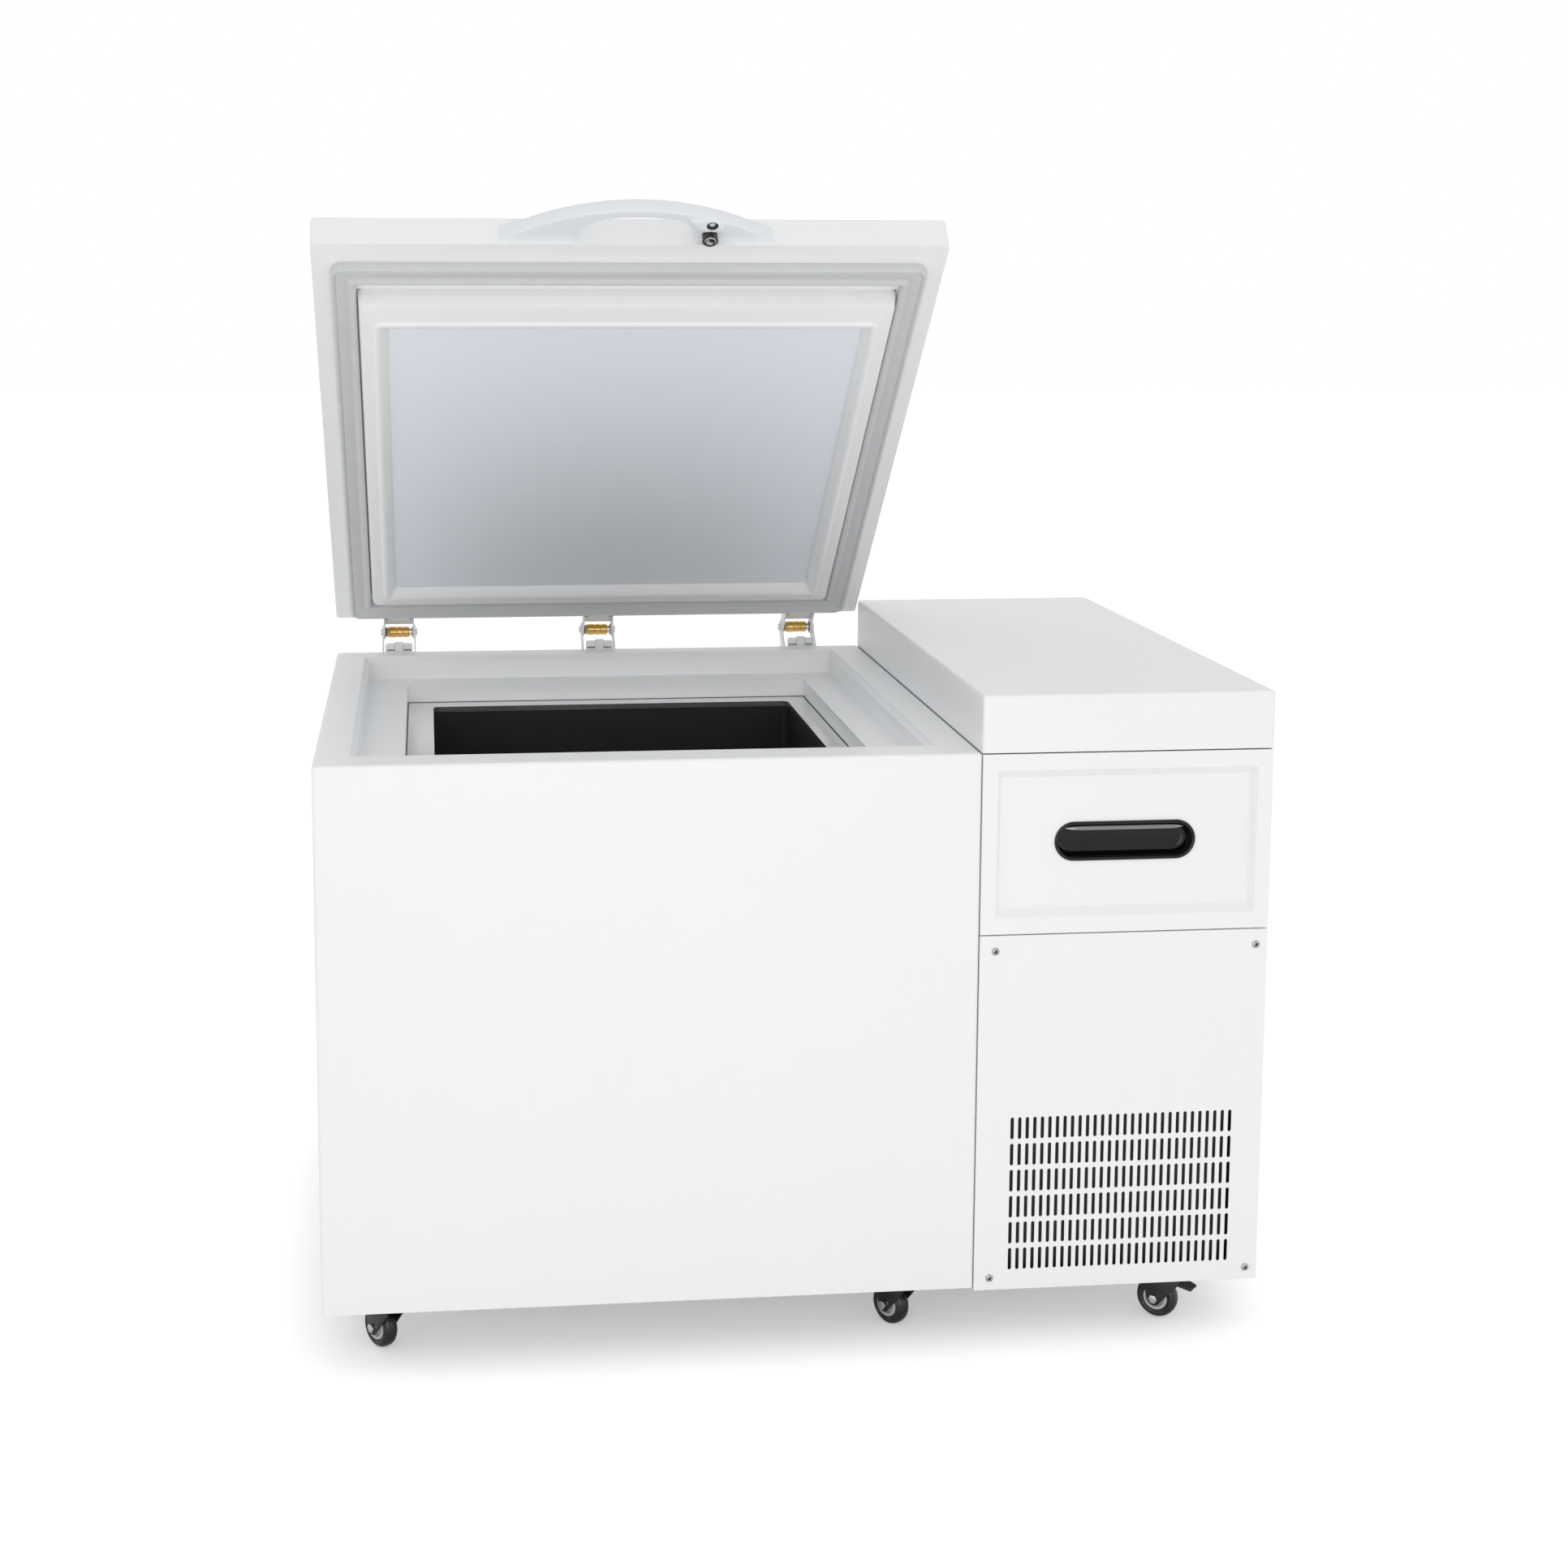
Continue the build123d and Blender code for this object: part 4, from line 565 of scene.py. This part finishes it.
def handleSection(dx):       # a ridge along the lower front edge, and a rounder upper one
    outer, inner = handleOuter(dx), handleInner(dx)
    low, high = handle["low"], handle["high"]
    thick = outer - inner
    ridge = min(handle["ridge"], handle["roundShare"] * thick)
    top = min(handle["topRound"], handle["roundShare"] * thick)
    bulge = handle["crown"] * min(1, thick / handle["bar"])
    nick = handle["nick"] if inner > handle["nickFrom"] else 0
    section = [
        *arc((outer - ridge, low + ridge), ridge, -pi / 2, 0, handle["ridgeSteps"]),
        (outer + bulge, (low + ridge + high - top) / 2),
        *arc((outer - top, high - top), top, 0, pi / 2, handle["topSteps"]),
        (inner + nick, high), (inner, high - nick), (inner, low + nick), (inner + nick, low),
    ]
    return [(handle["middle"] + dx, handle["front"] - reach, z) for reach, z in section]


stations = [handle["half"] * (2 * step / handle["stations"] - 1) for step in range(handle["stations"] + 1)]
for wall, blend in ((-handle["gapLeft"], handle["blendLeft"]), (handle["gapRight"], -handle["blendRight"])):
    steps = handle["blendSteps"]
    stations += [wall + blend * (step / steps) ** 2 for step in range(1, steps)]
    stations.append(wall + (handle["wallGap"] if blend > 0 else -handle["wallGap"]))
stations = sorted(set(round(station, handle["stationDigits"]) for station in stations))
bar = Form(lidFrame)
bar.rings([handleSection(dx) for dx in stations])
bar.piece("lidHandle", "lid", ["handleGrey"], ["lid_handle"], smooth=38)

# Lock on the handle's right foot: a raised plate with the key hole, and below it the bolt in its sleeve
lock = {
    "keyPlace": (0.1125, -0.038), "keyFace": -0.0037, "keyHole": 0.0091, "boltPlace": (0.1105, -0.014),
    "plateLow": -0.004, "plateHigh": 0.0002, "spacing": 0.0035, "slotLong": 0.0044, "slotWide": 0.0008,
    "slotLow": 0.0066, "slotHigh": 0.0098,
    # across the handle and out from it
    "plate": [
        (0.0780, 0.0485), (0.1000, 0.0500), (0.1180, 0.0462), (0.1285, 0.0405), (0.1315, 0.0345),
        (0.1300, 0.0285), (0.1245, 0.0250), (0.0985, 0.0250), (0.0935, 0.0285), (0.0865, 0.0375),
    ],
    # radius and height: the sleeve, the bolt from its dished end, and the key cylinder from its face
    "sleeve": [(0.0096, -0.0140), (0.0109, -0.0140), (0.0120, -0.0128), (0.0120, 0), (0.0096, 0)],
    "bolt": [
        (0, -0.0131), (0.0025, -0.0133), (0.0055, -0.0139), (0.0078, -0.0143), (0.0086, -0.0141),
        (0.0095, -0.0132), (0.0095, 0.0077), (0, 0.0077),
    ],
    "key": [
        (0.0014, 0.0075), (0.0040, 0.0068), (0.0052, 0.0016), (0.0062, 0.0006), (0.0082, 0), (0.0090, 0.0008),
        (0.0090, 0.0180), (0.0014, 0.0180),
    ],
}
lockFrame = lidFrame @ Matrix.Translation((handle["middle"], handle["front"], handle["low"]))
boltFrame = lockFrame @ Matrix.Translation((*lock["boltPlace"], 0))
keyFrame = lockFrame @ Matrix.Translation((*lock["keyPlace"], lock["keyFace"]))


def spacedOutline(outline, spacing):       # the same outline with points at about this spacing
    spaced = []
    for (startX, startY), (endX, endY) in zip(outline, outline[1:] + outline[:1]):
        parts = max(1, round(hypot(endX - startX, endY - startY) / spacing))
        spaced += [
            (startX + (endX - startX) * part / parts, startY + (endY - startY) * part / parts)
            for part in range(parts)
        ]
    return spaced


keyX, keyY = lock["keyPlace"]
plateEdge = spacedOutline([(across, -out) for across, out in lock["plate"]], lock["spacing"])
plateHole = []
for x, y in plateEdge:
    angle = atan2(y - keyY, x - keyX)
    plateHole.append((keyX + lock["keyHole"] * cos(angle), keyY + lock["keyHole"] * sin(angle)))
plate = Form(lockFrame)
plate.rings([
    [(x, y, height) for x, y in outline] for outline, height in (
        (plateEdge, lock["plateLow"]), (plateEdge, lock["plateHigh"]),
        (plateHole, lock["plateHigh"]), (plateHole, lock["plateLow"]),
    )
], around=True)
plate.piece("lockPlate", "lid", ["lockPlateGrey"], bevel=0.0009, smooth=30)

sleeve = Form(boltFrame)
sleeve.lathe(lock["sleeve"], sides=56, around=True)
sleeve.piece("lockSleeve", "lid", ["lockBlack"], ["lock_housing"], smooth=40)

bolt = Form(boltFrame)
bolt.lathe(lock["bolt"], sides=56)
bolt.piece("lockBolt", "lock_bolt", ["zincBright"], ["lock_bolt"])

key = Form(keyFrame)
key.lathe(lock["key"], sides=56, around=True)
keySlot = rectangle(-lock["slotLong"], lock["slotLong"], -lock["slotWide"], lock["slotWide"])
key.prism(keySlot, lock["slotLow"], lock["slotHigh"])
key.piece("lockCylinder", "lock_cylinder", ["blackPlastic"], ["lock_cylinder"])
print("handle and lock made")

# Lid underside: seal, moulded plug frame with its bead, and the pale inner panel
seal = {
    "middle": (-0.2255, -0.5835), "inner": (0.849, 0.915), "under": -0.010, "corner": 0.003,
    "cornerGrow": 0.4, "cornerSteps": 5,
    # across the band from its inner wall outwards, and down from the lid's underside
    "profile": [
        (0, 0), (0, 0.0130), (0.0012, 0.0158), (0.0036, 0.0174), (0.0066, 0.0176), (0.0090, 0.0164),
        (0.0102, 0.0146), (0.0112, 0.0128), (0.0128, 0.0122), (0.0146, 0.0128), (0.0215, 0.0144),
        (0.0284, 0.0157), (0.0296, 0.0150), (0.0304, 0.0140), (0.0314, 0.0150), (0.0330, 0.0170),
        (0.0350, 0.0176), (0.0370, 0.0166), (0.0380, 0.0144), (0.0380, 0.0040), (0.0368, 0),
    ],
}
bandRings = []
for out, down in seal["profile"]:
    corner = seal["corner"] + seal["cornerGrow"] * out
    height = seal["under"] - down
    bandRings.append(boxRing(seal["middle"], seal["inner"], out, corner, height, seal["cornerSteps"]))
band = Form(lidFrame)
band.rings(bandRings, around=True)
band.piece("lidSeal", "lid", ["sealGrey"], ["lid_gasket"], smooth=32)

plug = {
    "middle": (-0.226, -0.5825), "beadMiddle": (-0.2265, -0.572), "under": -0.010, "inside": -0.0247,
    "insideSize": (0.829, 0.847), "insideCorner": 0.006, "base": (0.847, 0.865), "baseCorner": 0.010,
    "top": (0.837, 0.855), "bead": (0.798, 0.794), "mouth": (0.755, 0.744),
    # growth of the size, corner radius and height, from the top's edge over the bead and down its inner side
    "topSteps": [(0.0006, 0.0100, -0.0368), (-0.0006, 0.0094, -0.0391), (-0.0030, 0.0070, -0.0400)],
    "beadSteps": [
        (0.0022, 0.0162, -0.0400), (0.0006, 0.0146, -0.0406), (-0.0004, 0.0140, -0.0420),
        (-0.0022, 0.0120, -0.0434), (-0.0052, 0.0090, -0.0440), (-0.0086, 0.0060, -0.0436),
        (-0.0120, 0.0045, -0.0416),
    ],
    "mouthSteps": [(0.0016, 0.0040, -0.0304), (0.0002, 0.0035, -0.0284), (-0.0002, 0.0032, -0.0280)],
}
moulding = Form(lidFrame)
moulding.rings([
    boxRing(plug["middle"], plug["insideSize"], 0, plug["insideCorner"], plug["inside"]),
    boxRing(plug["middle"], plug["insideSize"], 0, plug["insideCorner"], plug["under"]),
    boxRing(plug["middle"], plug["base"], 0, plug["baseCorner"], plug["under"]),
    *(boxRing(plug["middle"], plug["top"], *step) for step in plug["topSteps"]),
    *(boxRing(plug["beadMiddle"], plug["bead"], *step) for step in plug["beadSteps"]),
    *(boxRing(plug["beadMiddle"], plug["mouth"], *step) for step in plug["mouthSteps"]),
])
moulding.piece("plugFrame", "lid", ["whiteLining"], ["lid_plug_frame"], smooth=30)

panel = {
    "size": (0.751, 0.740),
    # growth of the size, corner radius and height, from the upper face to the softened lower edge
    "steps": [(0, 0.004, -0.0281), (0, 0.004, -0.0295), (-0.0005, 0.004, -0.0300)],
}
innerPanel = Form(lidFrame)
innerPanel.rings([boxRing(plug["beadMiddle"], panel["size"], *step) for step in panel["steps"]])
innerPanel.piece("innerPanel", "lid", ["paleBluePanel"], ["lid_inner_panel"], smooth=30)
print("lid underside made")

# Hinges: turned brass barrels with a conical collar, grooves and a bright end
knuckle = {
    "places": (-0.601, -0.225, 0.160), "brassEnd": 0.0186,
    # radius and place along the pin, from the left end to the bright right one
    "profile": [
        (0.0041, -0.0256), (0.00777, -0.0256), (0.0084, -0.0246), (0.010185, -0.0175), (0.0105, -0.0165),
        (0.0105, -0.0062), (0.0100, -0.0057), (0.0092, -0.0055), (0.0092, -0.0042), (0.0099, -0.0040),
        (0.0104, -0.0035), (0.0104, 0.0055), (0.0099, 0.0060), (0.0092, 0.0062), (0.0092, 0.0074),
        (0.0097, 0.0076), (0.0102, 0.0081), (0.0102, 0.0178), (0.0093, 0.0186), (0.0080, 0.0188),
        (0.0080, 0.0262), (0.0070, 0.0256), (0.0041, 0.0256),
    ],
}
barrels = Form()
for place in knuckle["places"]:
    pinFrame = axes((place, hinge["y"], hinge["z"]), toBack, toTop, toRight)
    for face in barrels.lathe(knuckle["profile"], sides=56, place=pinFrame, around=True):
        if face.calc_center_median().x > place + knuckle["brassEnd"]:
            face.material_index = 1
barrels.piece("hingeBarrels", "lid", ["polishedBrass", "zincBright"], ["hinge_barrels"], smooth=28)

# Sloping webs between the upper cheeks, with a black patch of painted shade in both back corners, where the
# web meets the cheeks
web = {
    "half": 0.0256, "sheet": 0.0018, "upper": (-0.0650, -0.0080), "lower": (-0.0125, 0.0095),
    "cornerShadeIn": 0.0200, "cornerShadeLong": 0.016, "cornerShadeDrop": 0.0005, "cornerShadeUnder": -0.2, "cornerShadeOver": 0.5,
}
webY, webZ = web["upper"]
slope = atan2(web["lower"][1] - webZ, web["lower"][0] - webY)
webLong = hypot(web["lower"][0] - webY, web["lower"][1] - webZ)


def alongWeb(outline, drop=0):       # from distances along and out of the web to the lid's y and z
    return [
        (webY + drop + along * cos(slope) - out * sin(slope), webZ + along * sin(slope) + out * cos(slope))
        for along, out in outline
    ]


webOutline = alongWeb(rectangle(0, webLong, 0, web["sheet"]))
cornerShadeHeights = (web["cornerShadeUnder"] * web["sheet"], web["cornerShadeOver"] * web["sheet"])
cornerShadeOutline = alongWeb(rectangle(0, web["cornerShadeLong"], *cornerShadeHeights), web["cornerShadeDrop"])
webs = Form(lidFrame)
for place in knuckle["places"]:
    webs.shade = 0
    webs.rings([[(place + side * web["half"], y, z) for y, z in webOutline] for side in (-1, 1)])
    # painted shade: black patches in the corners where the web meets the cheeks
    webs.shade = 1
    for side in (-1, 1):
        ends = sorted((place + side * web["cornerShadeIn"], place + side * web["half"]))
        webs.rings([[(end, y, z) for y, z in cornerShadeOutline] for end in ends])
webs.piece("hingeWebs", "lid", ["hingeEnamel", "blackMetal"], bevel=0.0005)

# Aprons with a tongue, below the barrels, with black strips of painted shade where their slots are
apron = {
    "half": 0.0252, "low": 0.9150, "high": 0.9345, "front": 0.4938, "sheet": 0.0028, "chamfer": 0.003,
    "tongueHalf": 0.0070, "tongueTop": 0.9364, "neck": 0.002, "neckRise": 0.001,
    "slotShadeDepth": 0.0014, "slotShadeProud": 0.0001, "slotShadeLow": 0.9205,
    # inner and outer end of each strip of painted slot shade from the middle, and its top
    "slotShades": [(0.0078, 0.0232, 0.9232), (0.0074, 0.0090, 0.9330)],
}
apronSide = [
    (apron["half"], apron["low"]), (apron["half"], apron["high"] - apron["chamfer"]),
    (apron["half"] - apron["chamfer"], apron["high"]), (apron["tongueHalf"] + apron["neck"], apron["high"]),
    (apron["tongueHalf"], apron["high"] + apron["neckRise"]),
    (apron["tongueHalf"] - apron["neck"], apron["tongueTop"]),
]
apronOutline = apronSide + [(-across, height) for across, height in reversed(apronSide)]
aprons = Form()
for place in knuckle["places"]:
    apronFrame = axes((place, apron["front"], 0), toRight, toTop, toFront)
    aprons.shade = 0
    aprons.prism(apronOutline, -apron["sheet"], 0, apronFrame)
    # painted shade: black strips standing a hair proud of the face where the slots are
    aprons.shade = 1
    for side in (-1, 1):
        for near, far, top in apron["slotShades"]:
            slotShade = rectangle(*sorted((side * near, side * far)), apron["slotShadeLow"], top)
            aprons.prism(slotShade, -apron["slotShadeDepth"], apron["slotShadeProud"], apronFrame)
aprons.piece("hingeAprons", "cabinet", ["hingeEnamel", "blackMetal"], bevel=0.0004)

# Black rings at both ends of every barrel: painted shade in the gap between barrel and cheek
barrelEndShade = {"inner": 0.0043, "outer": 0.0098, "half": 0.0005, "reach": 0.0247}
barrelEndShadeProfile = rectangle(barrelEndShade["inner"], barrelEndShade["outer"], -barrelEndShade["half"], barrelEndShade["half"])
barrelEndShades = Form()
for place in knuckle["places"]:
    for side in (-1, 1):
        barrelEndShadeFrame = axes((place + side * barrelEndShade["reach"], hinge["y"], hinge["z"]), toBack, toTop, toRight)
        barrelEndShades.lathe(barrelEndShadeProfile, sides=40, place=barrelEndShadeFrame, around=True)
barrelEndShades.piece("hingeBarrelEndShades", "lid", ["blackPlastic"], smooth=40)
print("hinges made")

# Sealing line where the throat meets the stainless collar
joint = {
    "middle": (-0.220, -0.0345), "size": (0.7296, 0.7776), "corner": 0.002, "cornerSteps": 5,
    # growth of the size and height
    "profile": [(0, 0.8460), (0, 0.8468), (-0.0022, 0.8463), (-0.0022, 0.8460)],
}
throatLine = Form()
throatLine.rings([
    boxRing(joint["middle"], joint["size"], grow, joint["corner"], height, joint["cornerSteps"])
    for grow, height in joint["profile"]
], around=True)
throatLine.piece("throatLine", "cabinet", ["blackPlastic"], smooth=40)

# Drawer pull: a glossy recessed cup with a rolled rim and a finger roll near the top
pull = {
    "place": (0.4925, -0.5555, 0.7795), "width": 0.217, "height": 0.060, "endSteps": 20,
    # growth from the outline, and how far it stands out of the drawer front's recess
    "profile": [
        (-0.0032, -0.0258), (-0.0032, 0.0001), (0, 0.0001), (0, 0.0014), (-0.0005, 0.0024), (-0.0015, 0.0030),
        (-0.0030, 0.0030), (-0.0043, 0.0024), (-0.0052, 0.0012), (-0.0056, -0.0010), (-0.0058, -0.0120),
        (-0.0070, -0.0185), (-0.0100, -0.0222), (-0.0150, -0.0233),
    ],
    "rollHigh": 0.0196, "rollRadius": 0.0046, "rollOut": -0.0022, "rollLeft": -0.092, "rollRight": 0.090,
    "rollSteps": 24, "rollSides": 20, "rollPower": 10, "rollTip": 0.03,
}


def obround(width, height):       # outline with half-round ends
    radius = height / 2
    straight = width / 2 - radius
    right = arc((straight, 0), radius, -pi / 2, pi / 2, pull["endSteps"])
    left = arc((-straight, 0), radius, pi / 2, 3 / 2 * pi, pull["endSteps"])
    return right + left


def rollRing(share):       # the finger roll at a share of its length, thinner towards both ends
    radius = pull["rollRadius"] * sqrt(max(pull["rollTip"], 1 - abs(2 * share - 1) ** pull["rollPower"]))
    across = pull["rollLeft"] + (pull["rollRight"] - pull["rollLeft"]) * share
    ring = circle((pull["rollOut"], pull["rollHigh"]), radius, pull["rollSides"])
    return [(across, high, out) for out, high in ring]


cup = Form(axes(pull["place"], toRight, toTop, toFront))
cup.rings([
    [(x, y, out) for x, y in obround(pull["width"] + 2 * grow, pull["height"] + 2 * grow)]
    for grow, out in pull["profile"]
])
cup.shade = 1
cup.rings([rollRing(step / pull["rollSteps"]) for step in range(pull["rollSteps"] + 1)])
cup.piece("drawerPull", "drawer", ["pullGloss", "rollGloss"], ["drawer_pull"], smooth=40)
print("pull made")

# Panel screws: low domed heads, each with a black cross laid on top as painted shade for its cross recess
screw = {
    "front": [(x, -0.5685, z) for x in (0.294, 0.697) for z in (0.616, 0.1025)],
    "back": [(x, 0.4935, z) for x in (0.2868, 0.6982) for z in (0.8947, 0.5035, 0.1025)],
    # radius and height of the head
    "profile": [
        (0, -0.0006), (0.0060, -0.0006), (0.0060, 0.0006), (0.00552, 0.0014), (0.0042, 0.0023),
        (0.0024, 0.0028), (0, 0.0029),
    ],
    # half the length and width of the cross's bars, their foot and top, and its turn in radians
    "crossLong": 0.0034, "crossWide": 0.0009, "crossLow": 0.0016, "crossHigh": 0.00295, "crossTurn": 0.6,
}
recessShadeOutline = rectangle(-screw["crossLong"], screw["crossLong"], -screw["crossWide"], screw["crossWide"])
heads = Form()
for toward, places in ((toFront, screw["front"]), (toBack, screw["back"])):
    for place in places:
        headFrame = axes(place, toTop.cross(toward), toTop, toward)
        heads.shade = 0
        heads.lathe(screw["profile"], sides=40, place=headFrame)
        # painted shade: black bars over the head where the cross recess is dark
        heads.shade = 1
        for turn in (screw["crossTurn"], screw["crossTurn"] + pi / 2):
            recessShadeFrame = headFrame @ Matrix.Rotation(turn, 4, "Z")
            heads.prism(recessShadeOutline, screw["crossLow"], screw["crossHigh"], recessShadeFrame)
screwLooks = ["screwChrome", "blackMetal"]
heads.piece("panelScrews", "cabinet", screwLooks, ["panel_screws"], smooth=30)
print("screws made")

# Softer edges on pressed and moulded pieces that keep their solid
# an edge is softened where its faces turn by more than fromAngle degrees
softened = {
    "steps": 3, "fromAngle": 40,
    "widths": {
        "drawer_front": 0.0008, "front_panel": 0.0005, "bay_cap": 0.0006, "recess_frame": 0.0012,
        "chamber_collar": 0.0004, "hinge_lower_brackets": 0.0004, "hinge_upper_brackets": 0.0004,
        "caster_plates": 0.0005,
    },
}
for name, width in softened["widths"].items():
    bevel = nodes[name].modifiers.new("softEdge", "BEVEL")
    bevel.width = width
    bevel.segments = softened["steps"]
    bevel.limit_method = "ANGLE"
    bevel.angle_limit = radians(softened["fromAngle"])
print("edges softened")

# A plain white floor, which the camera sees a little brighter than it is lit
ground = {"half": 30, "drop": 0.0005, "white": (0.95, 0.95, 0.95), "rough": 0.7, "sheen": 0.2, "glow": 0.36}
floorMesh = bpy.data.meshes.new("studioFloor")
floorCorners = rectangle(-ground["half"], ground["half"], -ground["half"], ground["half"])
floorMesh.from_pydata([(x, y, 0) for x, y in floorCorners], [], [(0, 1, 2, 3)])
studioFloor = bpy.data.objects.new("studioFloor", floorMesh)
studioFloor.location.z = -ground["drop"]
bpy.context.scene.collection.objects.link(studioFloor)
floorPaint = Paint(bpy.data.materials.new("floorPaint"))
floorBase = floorPaint.node(
    "ShaderNodeBsdfPrincipled", Base_Color=ground["white"], Roughness=ground["rough"],
    Specular_IOR_Level=ground["sheen"],
)
floorSeen = floorPaint.node("ShaderNodeLightPath").out("Is Camera Ray")
floorGlow = floorPaint.node("ShaderNodeEmission", Color=(1, 1, 1), Strength=floorSeen * ground["glow"])
floorShader = floorPaint.node("ShaderNodeAddShader", n0=floorBase, n1=floorGlow)
floorPaint.node("ShaderNodeOutputMaterial", Surface=floorShader)
floorMesh.materials.append(floorPaint.owner)

# Even white air: one strength lights the object, the other is what the camera sees behind it
air = {"light": 0.80, "backdrop": 1.0}
world = bpy.data.worlds.new("softRoom")
bpy.context.scene.world = world
airPaint = Paint(world)
ray = airPaint.node("ShaderNodeLightPath")
airSeen = airPaint.math("MAXIMUM", ray.out("Is Camera Ray"), ray.out("Is Transmission Ray"))
airStrength = airSeen * (air["backdrop"] - air["light"]) + air["light"]
airGlow = airPaint.node("ShaderNodeBackground", Color=(1, 1, 1), Strength=airStrength)
airPaint.node("ShaderNodeOutputWorld", Surface=airGlow)

# Three soft panels: the key in front on the left, a low one in front for the lid's underside, and the fill
lamps = {
    "keyPanel": {"place": (-2.6, -4.6, 2.6), "aim": (-0.1, 0, 0.8), "size": 3.2, "power": 7},
    "frontPanel": {"place": (-0.3, -4.4, 0.95), "aim": (-0.2, 0, 1.15), "size": 2.2, "power": 22},
    "fillPanel": {"place": (3.6, -3.0, 1.8), "aim": (0.2, 0, 0.6), "size": 2.6, "power": 5},
}
for name, lamp in lamps.items():
    light = bpy.data.lights.new(name, "AREA")
    light.shape = "SQUARE"
    light.size = lamp["size"]
    light.energy = lamp["power"]
    shown = bpy.data.objects.new(name, light)
    shown.location = lamp["place"]
    shown.rotation_mode = "QUATERNION"
    shown.rotation_quaternion = (Vector(lamp["aim"]) - Vector(lamp["place"])).to_track_quat("-Z", "Y")
    bpy.context.scene.collection.objects.link(shown)

# Camera fitted to the photo: angles in degrees, focal length and sensor in millimetres
lens = {
    "place": (-0.5445, -4.0264, 1.6247), "yaw": 6.296, "pitch": -7.717, "roll": 0.128,
    "focal": 55.597, "sensor": 36, "shiftX": 0.0577, "shiftY": -0.117,
}
cameraData = bpy.data.cameras.new("camera")
cameraData.lens = lens["focal"]
cameraData.sensor_width = lens["sensor"]
cameraData.shift_x = lens["shiftX"]
cameraData.shift_y = lens["shiftY"]
camera = bpy.data.objects.new("camera", cameraData)
yaw, pitch, roll = (radians(lens[key]) for key in ("yaw", "pitch", "roll"))
sight = Vector((sin(yaw) * cos(pitch), cos(yaw) * cos(pitch), sin(pitch)))
level = Vector((cos(yaw), -sin(yaw), 0))
upright = level.cross(sight)
cameraRight = level * cos(roll) + upright * sin(roll)
cameraUp = upright * cos(roll) - level * sin(roll)
camera.matrix_world = axes(lens["place"], cameraRight, cameraUp, -sight)
bpy.context.scene.collection.objects.link(camera)
bpy.context.scene.camera = camera
bpy.context.scene.view_settings.view_transform = "Standard"
print("floor, lights and camera are set")
